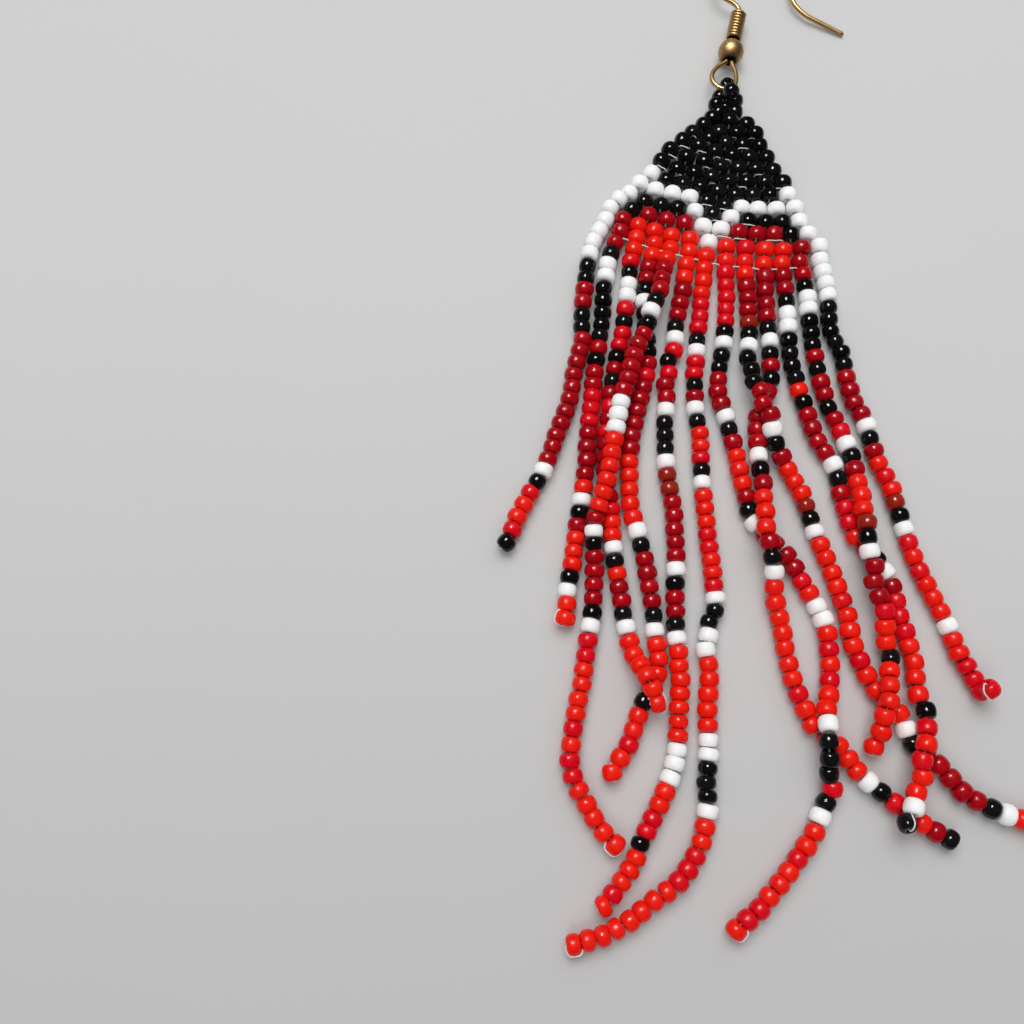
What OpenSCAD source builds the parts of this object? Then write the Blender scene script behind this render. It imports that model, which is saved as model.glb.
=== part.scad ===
// Seed bead fringe earring, lying face up on a flat surface, in millimetres.
// +Z is up, +Y points to the ear wire, and the origin lies on the surface
// under the middle of the whole outline.

/* [Seed beads] */
// Outer diameter of one seed bead
bead_d = 2.1; // [1.95:0.05:2.1]
// Length of one seed bead along its hole
bead_l = 1.67; // [1.5:0.01:1.7]
// How much slimmer than its beads the body of a strand is
strand_slim = 0.3; // [0.26:0.02:0.5]
// How much slimmer than its beads the body of the hanging loop is
loop_slim = 0.5; // [0.45:0.05:0.8]

/* [Ear wire] */
// Diameter of the bent wire
wire_d = 0.63; // [0.5:0.01:0.63]
// Diameter of the straight tail that goes through the ear
tail_d = 0.66; // [0.65:0.01:0.72]
// Length of the straight tail
tail_l = 4.6; // [3.5:0.1:5]
// Radius of the arch over the ear
arch_r = 5.4; // [5:0.1:5.4]

/* [Ball and coil] */
// Diameter of the ball
ball_d = 3.4; // [3.3:0.05:3.5]
// Outer diameter of the wire coil
coil_d = 2.1; // [1.9:0.05:2.2]
// Diameter of the wire of the coil
coil_wire_d = 0.44; // [0.36:0.02:0.46]
// Number of turns of the coil
coil_turns = 9; // [8:1:9]

/* [Hidden] */
first_strand_node = 5;

// Clearance between neighbouring pieces
air = 0.1;
bead_r = bead_d/2;
UP = [0, 0, 1];
ACROSS = [1, 0, 0];

// The stem of the ear wire: it runs through the ball and the coil
stem_lean = 13;
stem = [sin(stem_lean), cos(stem_lean), 0];
stem_side = [cos(stem_lean), -sin(stem_lean), 0];
ball_at = [0.6, 46.05, ball_d/2];
// The tail droops to the surface, so the plane of the hook falls to the right of the stem
hook_fall = 0.094;
// The wire loop below the ball climbs over the beads that hang in it
loop_climb = 0.135;

// Bores of the ball: a wide one for both legs of the loop, a narrow one for the stem
leg_offset = 0.38;
bore_slack = 0.06;
wide_bore_r = leg_offset + wire_d/2 + air + bore_slack;
narrow_bore_r = wire_d/2 + air + bore_slack;
bore_step = 0.6;

// The coil starts a little above the ball
coil_start = 2.2;
coil_pitch = 0.478;
coil_sides = 6;
coil_rings = 12;

// Where the wire loop leaves the ball
mouth_y = 44.4;

// Route of the wire from its tucked end inside the ball, down the left leg, round the
// bottom, up the right leg, through the ball and the coil and over the kink
WIRE_RISE = [
    [0.1, 45.6], [-0.15, 44.5], [-1.25, 43.7], [-2.05, 42.6], [-2.3, 41.6], [-2.1, 40.7],
    [-1.5, 39.95], [-0.95, 39.65], [-0.3, 39.5], [0.4, 39.85], [0.8, 40.7], [0.95, 41.7],
    [0.9, 42.9], [0.6, 44.3], [0.8, 45.3], [0.75, 46.7], [0.98, 47.7], [1.5, 49.95],
    [2.0, 52.1], [2.14, 52.75], [2.0, 53.35], [1.5, 53.95], [0.75, 54.4], [0.0, 54.9],
    [-0.65, 55.7], [-1.0, 56.9], [-1.1, 58.6]
];
// Middle of the arch, then the route down to the bend where the straight tail begins
ARCH_AT = [4.3, 60.9];
arch_step = 18;
WIRE_FALL = [
    [9.7, 59.2], [9.6, 57.4], [9.65, 55.9], [9.95, 54.75], [10.6, 53.75], [11.5, 52.85], [12.4, 52.3]
];
// Direction of the tail seen from above
tail_turn = -28.2;
tail_overlap = 0.4;

// Route of the string of beads that hangs in the wire loop: up the left side, under the
// wire, up through the loop, back over the wire and down the right side
HANGING_ROUTE = [
    [-1.7, 37.0, 1.0], [-1.8, 38.35, 1.0], [-1.5, 39.4, 0.95], [-1.15, 40.3, 1.0],
    [-0.85, 40.9, 1.55], [-0.65, 41.05, 2.3], [-0.5, 40.8, 3.05], [-0.25, 40.1, 3.6],
    [0.05, 39.3, 3.65], [0.35, 38.7, 3.25], [0.7, 38.3, 2.4], [0.9, 38.0, 1.5],
    [0.95, 37.5, 1.05], [0.95, 37.0, 1.0]
];

// Rows of the woven triangle from the top down: key beads as [bead, x, y]
PANEL_ROWS = [
    [[0, -1.5, 36.95], [1, 0.95, 36.9]],
    [[0, -2.4, 35.85], [1, -0.1, 35.4], [2, 2.1, 34.9]],
    [[0, -3.6, 34.8], [1, -1.6, 33.7], [2, 0.7, 33.5], [3, 3.1, 33.4]],
    [[0, -5.1, 33.6], [1, -2.9, 32.8], [2, -0.8, 32.0], [4, 3.6, 31.6]],
    [[0, -6.5, 32.4], [1, -4.4, 31.5], [2, -2.3, 30.7], [3, -0.1, 30.1], [5, 4.4, 29.8]],
    [[0, -8.2, 31.0], [1, -6.1, 29.8], [2, -3.8, 29.2], [3, -1.7, 28.4], [6, 5.1, 27.8]],
    [[0, -9.4, 29.3], [1, -7.4, 28.1], [2, -5.2, 27.5], [4, -0.8, 26.2], [7, 6.2, 26.0]],
    [[0, -10.8, 27.4], [1, -8.9, 26.4], [3, -4.5, 25.4], [5, -0.1, 24.2], [8, 6.7, 24.2]],
    [[0, -12.4, 25.9], [1, -10.4, 24.9], [3, -6.0, 23.8], [5, -1.5, 22.7], [7, 2.7, 22.0],
     [9, 7.5, 22.2]],
    [[0, -13.8, 24.4], [1, -11.8, 23.3], [4, -5.4, 21.8], [6, -0.9, 20.8], [8, 3.6, 20.2],
     [10, 7.9, 20.3]],
    [[0, -15.1, 23.6], [1, -13.5, 22.1], [2, -11.4, 21.2], [5, -4.5, 19.6], [8, 2.3, 18.5],
     [11, 8.9, 18.5]],
    [[0, -16.3, 22.3], [1, -14.7, 20.6], [2, -12.8, 19.7], [4, -8.6, 18.2], [6, -3.9, 17.3],
     [9, 3.2, 16.5], [12, 10.2, 16.8]]
];
// Points across each row, and how far the hollow between two rows lies below their tops
row_points = 10;
row_hollow = 0.35;
panel_lean = 10;

// The thirteen fringe strands from left to right: key beads as [bead, x, y, lift], where
// lift is how far a strand that lies on another one is raised
FRINGE = [
    [[0, -16.9, 20.6], [2, -18.6, 17.4], [4, -19.4, 13.9], [6, -19.9, 10.7], [8, -20.3, 7.1],
     [10, -20.3, 3.8], [12, -21.1, 0.7], [15, -22.0, -4.2], [18, -23.7, -8.9],
     [21, -25.2, -13.3], [24, -27.6, -17.5], [27, -29.6, -22.2]],
    [[0, -15.15, 18.9], [2, -16.4, 15.7], [4, -17.1, 12.6], [6, -17.6, 9.0], [8, -17.8, 5.8],
     [10, -18.3, 2.7], [12, -18.9, -0.7], [15, -19.4, -5.4], [18, -19.9, -10.3],
     [21, -20.5, -15.5], [24, -21.3, -20.0], [27, -22.0, -24.9], [29, -22.6, -27.8],
     [31, -22.8, -31.2]],
    [[0, -13.1, 17.9], [2, -13.9, 14.5], [4, -14.3, 11.6], [6, -14.8, 7.8], [8, -15.3, 4.5],
     [10, -16.0, 1.5], [12, -16.7, -1.8], [14, -17.1, -5.1], [16, -17.5, -8.4],
     [18, -17.8, -11.7], [20, -17.8, -15.0], [22, -17.3, -18.2], [25, -17.2, -22.8],
     [28, -16.6, -27.5], [31, -16.0, -32.2], [33, -15.3, -35.3, 0.2], [34, -14.6, -36.7, 1.1],
     [35, -14.1, -38.0, 2.0], [36, -13.5, -39.2, 2.2], [37, -12.9, -40.9, 1.7]],
    [[0, -10.8, 17.2], [2, -11.6, 13.8], [4, -12.2, 10.5], [5, -12.4, 9.0], [7, -12.4, 5.6],
     [9, -12.1, 2.0], [11, -12.6, -1.0], [14, -13.8, -5.8], [17, -14.8, -10.5],
     [20, -15.1, -15.7], [22, -14.7, -19.2], [24, -13.9, -22.5], [27, -13.1, -27.5],
     [30, -12.7, -32.5], [33, -12.6, -37.4], [35, -14.3, -40.6], [38, -16.1, -45.2],
     [40, -18.0, -48.2]],
    [[0, -8.8, 16.3, 0.1], [2, -9.9, 13.0, 1.0], [4, -10.6, 9.7, 1.8], [5, -11.3, 8.0, 2.1],
     [6, -11.9, 6.5, 2.18], [8, -12.9, 3.5, 2.18], [10, -14.2, 0.7, 2.18],
     [12, -15.1, -2.4, 2.18], [14, -16.0, -5.4, 2.18], [16, -16.6, -8.6, 2.18],
     [18, -17.2, -11.9, 2.18], [20, -17.9, -15.1, 2.18], [22, -18.9, -18.2, 1.6],
     [24, -19.5, -20.9, 0.9], [26, -19.4, -24.0, 0.3], [29, -19.6, -28.9], [31, -20.1, -32.0],
     [33, -20.6, -35.5], [36, -21.5, -40.2], [39, -22.5, -45.3], [41, -22.4, -48.7],
     [43, -20.9, -51.5], [45, -19.1, -54.5], [46, -17.8, -55.7]],
    [[0, -6.5, 16.0], [2, -7.2, 12.3], [4, -7.9, 8.7], [6, -8.6, 5.5], [8, -9.0, 2.3],
     [9, -9.8, 0.9], [10, -9.8, -0.8], [11, -10.3, -2.3], [12, -10.1, -3.9],
     [14, -10.5, -7.3], [17, -10.6, -12.2], [20, -10.1, -17.3],
     [22, -9.9, -20.6], [25, -10.0, -25.4], [28, -10.3, -30.4],
     [30, -10.2, -33.4], [33, -10.1, -38.1], [36, -10.5, -42.8], [39, -11.1, -47.2],
     [41, -12.3, -50.3], [44, -14.5, -54.4], [47, -16.4, -58.3], [50, -19.3, -61.9]],
    [[0, -4.3, 15.3], [3, -5.1, 10.1], [6, -5.8, 5.3], [8, -6.2, 2.1], [10, -6.6, -0.8],
     [13, -6.7, -5.4], [15, -6.4, -8.7], [18, -6.4, -13.3], [21, -6.2, -18.1],
     [24, -6.0, -22.8], [27, -5.7, -27.3], [29, -5.7, -30.3], [30, -6.5, -31.5],
     [31, -6.6, -33.1], [32, -7.1, -34.7], [33, -6.7, -36.4], [36, -7.2, -41.5],
     [39, -7.3, -46.4], [41, -7.7, -49.2], [42, -7.6, -50.7],
     [44, -8.1, -53.9], [46, -9.3, -57.0], [48, -11.2, -59.5], [50, -13.9, -61.4],
     [52, -16.6, -63.4], [54, -19.4, -64.9], [56, -22.5, -65.7]],
    [[0, -1.9, 14.7], [3, -2.1, 9.4], [6, -2.6, 4.8], [9, -3.4, 0.0], [11, -3.8, -3.2],
     [13, -3.1, -6.4], [16, -2.1, -11.5], [19, -1.3, -16.7], [21, -0.5, -19.7],
     [24, 3.0, -23.8], [26, 4.5, -26.8], [28, 6.0, -29.7], [30, 6.9, -32.9],
     [33, 6.8, -38.1], [35, 5.8, -41.5, 1.1], [36, 5.6, -43.2, 2.0], [37, 5.4, -45.0, 2.2],
     [38, 5.4, -46.8, 1.9], [39, 5.6, -48.4, 0.9], [40, 6.0, -50.0, 0.3], [41, 5.2, -51.4],
     [42, 4.4, -52.8], [43, 3.7, -54.5], [46, 0.6, -58.5], [49, -2.8, -62.2], [51, -5.4, -64.3]],
    [[0, 0.5, 14.5], [3, 0.6, 9.4], [6, 0.45, 4.4, 0.2], [8, -0.1, 0.9, 0.9], [9, 0.1, -0.9, 1.3],
     [10, 0.15, -2.6, 1.7], [11, 0.9, -4.0, 2.05], [12, 0.95, -5.5, 2.18], [13, 1.8, -6.9, 2.0],
     [14, 2.05, -8.6, 1.6], [15, 2.5, -10.4, 1.0], [16, 3.2, -11.8, 0.4],
     [17, 3.9, -13.2], [19, 5.3, -16.3],
     [22, 6.5, -20.8], [25, 8.1, -25.8], [28, 9.4, -30.8], [30, 9.8, -34.3],
     [32, 11.0, -37.7], [33, 11.7, -39.2], [35, 14.2, -42.0], [37, 15.3, -45.1],
     [39, 18.0, -47.5], [41, 20.1, -50.2], [43, 23.2, -52.1], [45, 26.3, -53.2],
     [47, 29.4, -54.5]],
    [[0, 3.0, 14.2], [2, 2.9, 10.5], [4, 2.9, 6.9], [6, 2.9, 3.6], [8, 2.8, 0.2],
     [9, 2.75, -1.5], [10, 2.35, -3.2], [12, 0.8, -6.7], [14, 0.5, -9.7, 0.3], [16, 0.5, -13.5, 0.8],
     [17, 0.65, -15.2, 1.1], [18, 0.35, -17.2, 1.5], [19, 0.45, -19.0, 1.9],
     [20, 0.35, -21.0, 2.15], [21, 0.6, -22.7, 2.18], [22, 0.9, -24.4, 1.9],
     [23, 1.1, -25.8, 1.3], [24, 1.1, -27.7, 0.7], [25, 1.3, -29.4, 0.2],
     [27, 1.8, -32.9], [30, 2.6, -38.0],
     [32, 3.7, -41.4], [33, 4.4, -43.1], [35, 7.2, -45.6], [37, 8.8, -48.0],
     [39, 11.3, -50.3], [40, 12.6, -51.4], [42, 15.5, -53.6], [44, 18.3, -55.2]],
    [[0, 5.2, 14.3], [2, 5.4, 10.8], [4, 5.4, 7.3], [6, 5.4, 3.6], [8, 5.5, 0.2],
     [10, 6.1, -3.0], [12, 6.9, -6.2], [14, 7.8, -9.7], [16, 9.4, -12.5], [18, 10.0, -16.2],
     [20, 10.7, -19.8], [21, 11.2, -21.5], [24, 14.3, -25.7], [27, 15.4, -31.0],
     [30, 16.4, -36.1], [32, 16.3, -39.7, 0.4], [33, 16.8, -41.6, 0.9], [34, 16.4, -43.6, 1.6],
     [35, 15.9, -45.4, 2.18], [36, 15.3, -47.1, 2.18], [37, 15.3, -48.7, 1.8],
     [38, 14.6, -50.3, 1.4], [39, 13.9, -51.8, 2.1], [40, 13.1, -53.5, 1.9]],
    [[0, 7.6, 14.5], [2, 8.0, 11.1], [4, 8.1, 7.9], [7, 8.2, 3.1], [10, 8.8, -1.9],
     [12, 9.5, -5.3], [14, 10.6, -8.3], [16, 11.6, -11.6, 0.2], [18, 11.9, -15.1, 0.8],
     [19, 12.0, -16.8, 1.2], [20, 12.0, -18.6, 1.5], [21, 12.0, -20.4, 1.9],
     [22, 11.9, -22.1, 2.18], [23, 11.9, -23.7, 2.18], [24, 12.4, -25.5, 2.0],
     [25, 12.3, -27.2, 1.6], [26, 12.8, -29.0, 1.6], [27, 13.2, -30.5, 1.5],
     [28, 13.3, -32.3, 1.0], [29, 13.3, -34.1, 0.6], [30, 13.65, -35.6, 0.5],
     [31, 13.1, -37.3, 1.2], [32, 12.8, -39.1, 1.9], [33, 12.4, -40.7, 2.18],
     [34, 11.8, -42.2, 2.0], [35, 11.6, -43.8, 1.2], [36, 10.9, -45.5, 0.3]],
    [[0, 10.1, 14.8], [3, 10.7, 9.9], [6, 10.7, 4.9], [8, 11.6, 2.1], [10, 12.0, -1.3],
     [12, 12.7, -4.7], [14, 13.9, -7.6], [16, 14.4, -10.9], [19, 16.0, -15.7],
     [22, 17.0, -20.5], [25, 18.3, -25.6], [28, 20.2, -30.4], [31, 21.7, -35.2],
     [33, 23.0, -37.9], [34, 23.5, -39.3], [35, 24.7, -39.6, 0.7]]
];
// The upper end of a strand, seen from its first bead, and the tip past its last bead,
// which is a stop bead turned on its side
strand_head = bead_l/2 - 0.2;
strand_tip = bead_r;
strand_sides = 8;
end_slim = 0.75;
// Longest stretch, in beads, that one section of a strand spans
section_beads = 2;

// A curve through keys of the form [knot, x, y, z]
function spot(key) = [key[1], key[2], key[3]];
function slope(keys, i) =
    let (a = keys[max(i - 1, 0)], b = keys[min(i + 1, len(keys) - 1)])
    (spot(b) - spot(a))/(b[0] - a[0]);
function blend(p, q, m, n, t) =
    (2*t^3 - 3*t^2 + 1)*p + (t^3 - 2*t^2 + t)*m + (3*t^2 - 2*t^3)*q + (t^3 - t^2)*n;
function between(keys, i, t) =
    let (w = keys[i + 1][0] - keys[i][0])
    blend(spot(keys[i]), spot(keys[i + 1]), w*slope(keys, i), w*slope(keys, i + 1), t);
function along(keys, stretch) = [
    for (i = [0:len(keys) - 2])
        let (steps = ceil((keys[i + 1][0] - keys[i][0])/stretch))
        for (s = [0:steps - 1]) between(keys, i, s/steps),
    spot(keys[len(keys) - 1])
];

// Key beads of a strand or row with their height above the surface
function raised(keys) = [for (k = keys) [k[0], k[1], k[2], bead_r + (len(k) > 3 ? k[3] : 0)]];
// Points of a wire with their distance along it as the knot
function measured(points, i = 0, sum = 0) =
    i == len(points) ? [] : concat(
        [[sum, points[i][0], points[i][1], points[i][2]]],
        measured(points, i + 1, i + 1 < len(points) ? sum + norm(points[i + 1] - points[i]) : sum));

function unit(v) = v/norm(v);
function heading(path, i) = unit(path[min(i + 1, len(path) - 1)] - path[max(i - 1, 0)]);

// A tube along a path, with flats at its sides that lie at the given distance from the path
module tube(path, half, sides, guide = UP, end_scale = 1) {
    last = len(path) - 1;
    corner = 1/cos(180/sides);
    points = [
        for (i = [0:last])
            let (
                t = heading(path, i),
                side = unit(cross(t, guide)),
                rise = cross(side, t),
                grow = corner*(i == 0 || i == last ? end_scale : 1)
            )
            for (j = [0:sides - 1])
                let (a = 360*(j + 0.5)/sides)
                path[i] + grow*half*(cos(a)*side + sin(a)*rise)
    ];
    walls = [
        for (i = [0:last - 1])
            for (j = [0:sides - 1])
                let (a = i*sides + j, b = i*sides + (j + 1)%sides)
                [a, b, b + sides, a + sides]
    ];
    caps = [[for (j = [sides - 1:-1:0]) j], [for (j = [0:sides - 1]) last*sides + j]];
    polyhedron(points, concat(walls, caps), convexity = 10);
}

// Height of the wire: the loop climbs away from the ball, the hook falls to its tail
function hook_side(p) = (p[0] - ball_at[0])*stem_side[0] + (p[1] - ball_at[1])*stem_side[1];
function wire_height(p) =
    p[1] < mouth_y ? ball_at[2] + loop_climb*(mouth_y - p[1]) : ball_at[2] - hook_fall*hook_side(p);
function on_wire(p) = [p[0], p[1], wire_height(p)];

tail_start = WIRE_FALL[len(WIRE_FALL) - 1];
tail_course = [cos(tail_turn), sin(tail_turn)];

module ear_wire() {
    arch = [
        for (a = [180:-arch_step:0]) ARCH_AT + arch_r*[cos(a), sin(a)]
    ];
    inside_tail = tail_start + tail_overlap*tail_course;
    route = [for (p = concat(WIRE_RISE, arch, WIRE_FALL, [inside_tail])) on_wire(p)];
    tail_from = on_wire(tail_start);
    tail_to = on_wire(tail_start + tail_l*tail_course);
    run = tail_to - tail_from;
    color("darkgoldenrod") {
        tube(along(measured(route), 1), wire_d/2, 10);
        translate(tail_from)
            rotate([0, acos(run[2]/norm(run)), tail_turn])
                cylinder(h = norm(run), d = tail_d, $fn = 48);
    }
}

// Sets a shape made along +Z on the stem, at a distance above the middle of the ball
module on_stem(up) {
    translate(ball_at + up*stem) rotate([-90, 0, -stem_lean]) children();
}

module ball_bead() {
    color("darkgoldenrod") on_stem(0) difference() {
        sphere(d = ball_d, $fn = 96);
        translate([0, 0, -ball_d]) cylinder(h = ball_d + bore_step, r = wide_bore_r, $fn = 64);
        cylinder(h = ball_d, r = narrow_bore_r, $fn = 48);
    }
}

module wire_coil() {
    turn_r = (coil_d - coil_wire_d)/2;
    route = [
        for (i = [0:coil_turns*coil_rings])
            let (a = 360*i/coil_rings)
            [turn_r*cos(a), turn_r*sin(a), coil_pitch*i/coil_rings]
    ];
    color("darkgoldenrod") on_stem(coil_start)
        tube(route, coil_wire_d/2, coil_sides);
}

// The uppermost and lowermost edges of the woven triangle
panel_up = [sin(panel_lean), cos(panel_lean)];
function row_spot(keys, u) =
    let (
        n = u*keys[len(keys) - 1][0],
        i = min(len(keys) - 2, max([for (j = [0:len(keys) - 1]) if (keys[j][0] <= n) j])),
        p = between(raised(keys), i, (n - keys[i][0])/(keys[i + 1][0] - keys[i][0]))
    )
    [p[0], p[1]];
function row_line(keys, shift = 0) =
    [for (j = [0:row_points - 1]) row_spot(keys, j/(row_points - 1)) + shift*panel_up];

// One section of the triangle: round the left side, over the top and back underneath
function panel_section(line, half_h, reach) =
    let (
        last = len(line) - 1,
        left = line[0] + reach*unit(line[0] - line[1]),
        right = line[last] + reach*unit(line[last] - line[last - 1])
    )
    concat(
        [[left[0], left[1], bead_r]],
        [for (p = line) [p[0], p[1], bead_r + half_h]],
        [[right[0], right[1], bead_r]],
        [for (j = [last:-1:0]) [line[j][0], line[j][1], bead_r - half_h]]
    );

module bead_panel() {
    rows = len(PANEL_ROWS);
    full = bead_r - 0.01;
    low = bead_r - row_hollow;
    top_edge = row_line(PANEL_ROWS[0], bead_l/2);
    bottom_edge = row_line(PANEL_ROWS[rows - 1], -bead_l/2);
    sections = concat(
        [panel_section(top_edge, low, low)],
        [
            for (k = [0:rows - 1])
                let (line = row_line(PANEL_ROWS[k]))
                for (part = [0:k < rows - 1 ? 1 : 0])
                    part == 0 ? panel_section(line, full, bead_r)
                        : panel_section((line + row_line(PANEL_ROWS[k + 1]))/2, low, low)
        ],
        [panel_section(bottom_edge, low, low)]
    );
    size = 2*row_points + 2;
    last = len(sections) - 1;
    points = [for (s = sections) for (p = s) p];
    walls = [
        for (i = [0:last - 1])
            for (j = [0:size - 1])
                let (a = i*size + j, b = i*size + (j + 1)%size)
                [a, b, b + size, a + size]
    ];
    strip = concat(
        [[0, 1, size - 1]],
        [for (j = [1:row_points - 1]) [j, j + 1, size - 1 - j, size - j]],
        [[row_points, row_points + 1, row_points + 2]]
    );
    top_cap = [for (f = strip) [for (j = [len(f) - 1:-1:0]) f[j]]];
    bottom_cap = [for (f = strip) [for (j = f) j + last*size]];
    color([0.1, 0.1, 0.11]) polyhedron(points, concat(walls, top_cap, bottom_cap), convexity = 10);
}

// The hanging loop ends a little above the topmost row of the triangle
module hanging_loop() {
    keys = measured(HANGING_ROUTE);
    half = (bead_d - loop_slim)/2;
    stop = PANEL_ROWS[0][0][2] + bead_l/2 + air;
    color([0.1, 0.1, 0.11]) difference() {
        tube(along(keys, 0.7), half, 10, ACROSS);
        translate([-bead_d*2, stop - bead_d*2, -bead_d]) cube([bead_d*4, bead_d*2, bead_d*4]);
    }
}

module fringe_strand(keys) {
    path = along(raised(keys), section_beads);
    last = len(path) - 1;
    head = path[0] + strand_head*unit(path[0] - path[1]);
    tip = path[last] + strand_tip*unit(path[last] - path[last - 1]);
    color("crimson")
        tube(concat([head], path, [tip]), (bead_d - strand_slim)/2, strand_sides, end_scale = end_slim);
}

ear_wire();
ball_bead();
wire_coil();
hanging_loop();
bead_panel();
for (i = [0:len(FRINGE) - 1]) {
    fringe_strand(FRINGE[i]);
}
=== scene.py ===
"""Seed bead fringe earring lying on a pale surface, strung bead by bead in metres."""
import math
import random
from collections import namedtuple

import bpy
import numpy as np
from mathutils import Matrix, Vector


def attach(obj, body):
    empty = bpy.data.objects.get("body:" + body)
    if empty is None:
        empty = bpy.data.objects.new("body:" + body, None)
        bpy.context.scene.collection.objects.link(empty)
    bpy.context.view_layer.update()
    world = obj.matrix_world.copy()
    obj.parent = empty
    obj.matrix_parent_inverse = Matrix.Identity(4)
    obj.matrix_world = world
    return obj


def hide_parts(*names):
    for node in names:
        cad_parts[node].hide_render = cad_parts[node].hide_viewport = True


bl_info = {
    "name": "Seed bead fringe earring",
    "version": (1, 0, 0),
    "blender": (4, 5, 0),
    "location": "View3D > Sidebar > Earring",
    "description": "Strings a brick-stitched fringe earring bead by bead on its ear wire",
    "category": "Add Mesh",
}

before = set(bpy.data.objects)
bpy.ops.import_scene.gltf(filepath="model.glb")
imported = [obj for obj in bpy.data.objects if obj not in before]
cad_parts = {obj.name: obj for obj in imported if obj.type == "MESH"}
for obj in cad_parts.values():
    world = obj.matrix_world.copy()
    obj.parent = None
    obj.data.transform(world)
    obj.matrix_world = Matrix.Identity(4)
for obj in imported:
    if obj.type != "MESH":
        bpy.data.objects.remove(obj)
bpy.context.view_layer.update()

MM = 0.001
UP = Vector((0.0, 0.0, 1.0))

# A bead in its place, in millimetres, with the letter of its glass and its own brightness
Bead = namedtuple("Bead", "glass middle axis width length tint")
Glass = namedtuple("Glass", "name slot shoulder girth cloud dull shine under reach")

# How far red, green and blue light go under the skin of a bead, against the farthest
PALE_REACH = (1.0, 1.0, 1.0)
RED_REACH = (1.0, 0.35, 0.3)

# Glasses of the beads by their letter in the charts: name of the piece, slot of the record, how
# square the shoulders of the bead are, its width against the mean, how cloudy, dull and shiny
# it is, and how much light goes under its skin and how far
GLASSES = {
    "K": Glass("black", "bead_black", 2.35, 0.985, 0.2, 0.1, 0.29, 0.0, RED_REACH),
    "W": Glass("white", "bead_white", 2.6, 1.035, 0.3, 0.45, 0.2, 0.6, PALE_REACH),
    "D": Glass("dark_red", "bead_dark_red", 2.3, 1.035, 0.12, 0.22, 0.31, 0.05, RED_REACH),
    "R": Glass("red", "bead_red", 2.3, 1.03, 0.1, 0.26, 0.24, 0.1, RED_REACH),
}

# Colours of the black glass in its dark and its bright clouds
BLACK_DEEP = (0.004, 0.004, 0.004)
BLACK_BRIGHT = (0.008, 0.008, 0.0083)

# Shades of the beads: letter in the charts, its glass and how bright it is from 0 to 1;
# below 0 it turns rusty
SHADES = {
    "K": ("K", 0.0, 1.0), "W": ("W", 0.0, 1.0), "R": ("R", 0.75, 1.0), "r": ("R", 0.0, 0.2),
    "D": ("D", 0.0, 0.35), "d": ("D", 0.45, 0.75), "B": ("D", -1.0, -0.6),
}

# Ends of the strands: hole direction of the last bead in degrees and its tilt, then the side
# on which the thread goes round it in degrees and how far that side is turned up
TIPS = [
    (45, 0.08, 200, -60), (75, 0.08, 178, 10), (10, 0.08, 80, 15), (100, 0.08, 0, -60),
    (137, 0.08, 225, 8), (27, 0.08, 300, -60), (8, 0.08, 272, 10), (50, 0.35, 320, 15),
    (-30, 0.08, 240, -60), (-35, 0.08, 240, -60), (95, -0.6, 5, 70), (80, 0.08, 180, -60),
    (135, 0.4, 225, 25),
]

# Bead order of the thirteen strands from the triangle down: shade and how many in a row
STRAND_CHARTS = [
    "W4 K2 d2 K2 d1 D10 W1 K1 r1 R2 r1 K1",
    "D1 d1 K1 W2 K5 d1 K1 d2 r3 D4 R1 W1 K1 D1 R3 K1 W1 R2",
    "R2 r1 K1 W2 r1 K1 r2 K1 D1 K1 D1 r1 D1 r1 D5 r1 R2 W1 K1 R1 D1 d1 K1 W1 R6",
    "R2 d1 D1 K1 W1 K4 d1 r1 D5 d1 R5 W1 K1 D2 d1 D1 K1 W1 R4 K1 R2 r1 R2",
    "R2 D2 d1 K1 W1 K1 d1 D1 d2 D1 d1 W3 R6 D1 W1 K1 D1 d2 D1 K1 W1 r2 R4 r1 R1 r2 R5",
    "R3 D2 d1 K1 W1 r1 K1 r1 D1 d1 W1 K3 W1 B2 d2 D3 W1 K1 d1 D1 K1 W1 R7 W3 R2 r2 K1 R3 r1 R1",
    "R4 r3 K1 W1 r2 K1 D1 W1 K1 R2 r1 K1 W1 R3 r2 R2 r1 W1 K2 W2 R5 W2 K3 W1 R2 r3 R8",
    "R1 r5 K1 W1 K2 d1 D2 W1 K1 D1 R3 D1 K1 W1 D4 r1 R1 W2 R1 r1 R1 r1 R2 W1 K3 r1 K1 W1 R2 r1 R3 r2 R1",
    "R2 D3 B1 K1 W1 K3 d2 D1 W1 K1 D1 R3 B1 K1 W1 R4 r1 R3 r1 R4 W1 K1 D1 d1 D3 K1 W1 R3",
    "R1 D4 K1 W1 K1 d1 K1 d1 D2 d2 W1 K1 D1 R3 D1 K1 W1 R7 r1 R6 W1 K1 r1 R2 D1 K1",
    "R1 D2 K1 W2 K4 R1 K1 d1 D1 d1 D1 W1 K1 d1 r2 R1 D1 K1 W1 D1 r3 R4 K1 r1 R1 r1 R2 W1 K1",
    "D1 d1 K1 W2 K3 d1 K1 d1 D1 K1 d1 r1 W1 K1 D1 R3 B1 K1 W1 D3 r1 R2 K1 R6",
    "W4 K6 d1 D3 W1 K1 D1 R1 r1 R1 B1 K1 W1 r1 R1 r1 R3 W1 R2 r4",
]

# Bead order of the rows of the triangle from the top down, left to right
PANEL_CHARTS = [
    "K2", "K3", "K4", "K5", "K6", "K7", "K8",
    "W1 K7 W1",
    "W4 K2 W4",
    "W1 K3 W1 K1 W1 K3 W1",
    "W1 K1 D3 W2 D3 K1 W1",
    "W1 D1 R4 W1 R1 r1 R2 D1 W1",
]

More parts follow.
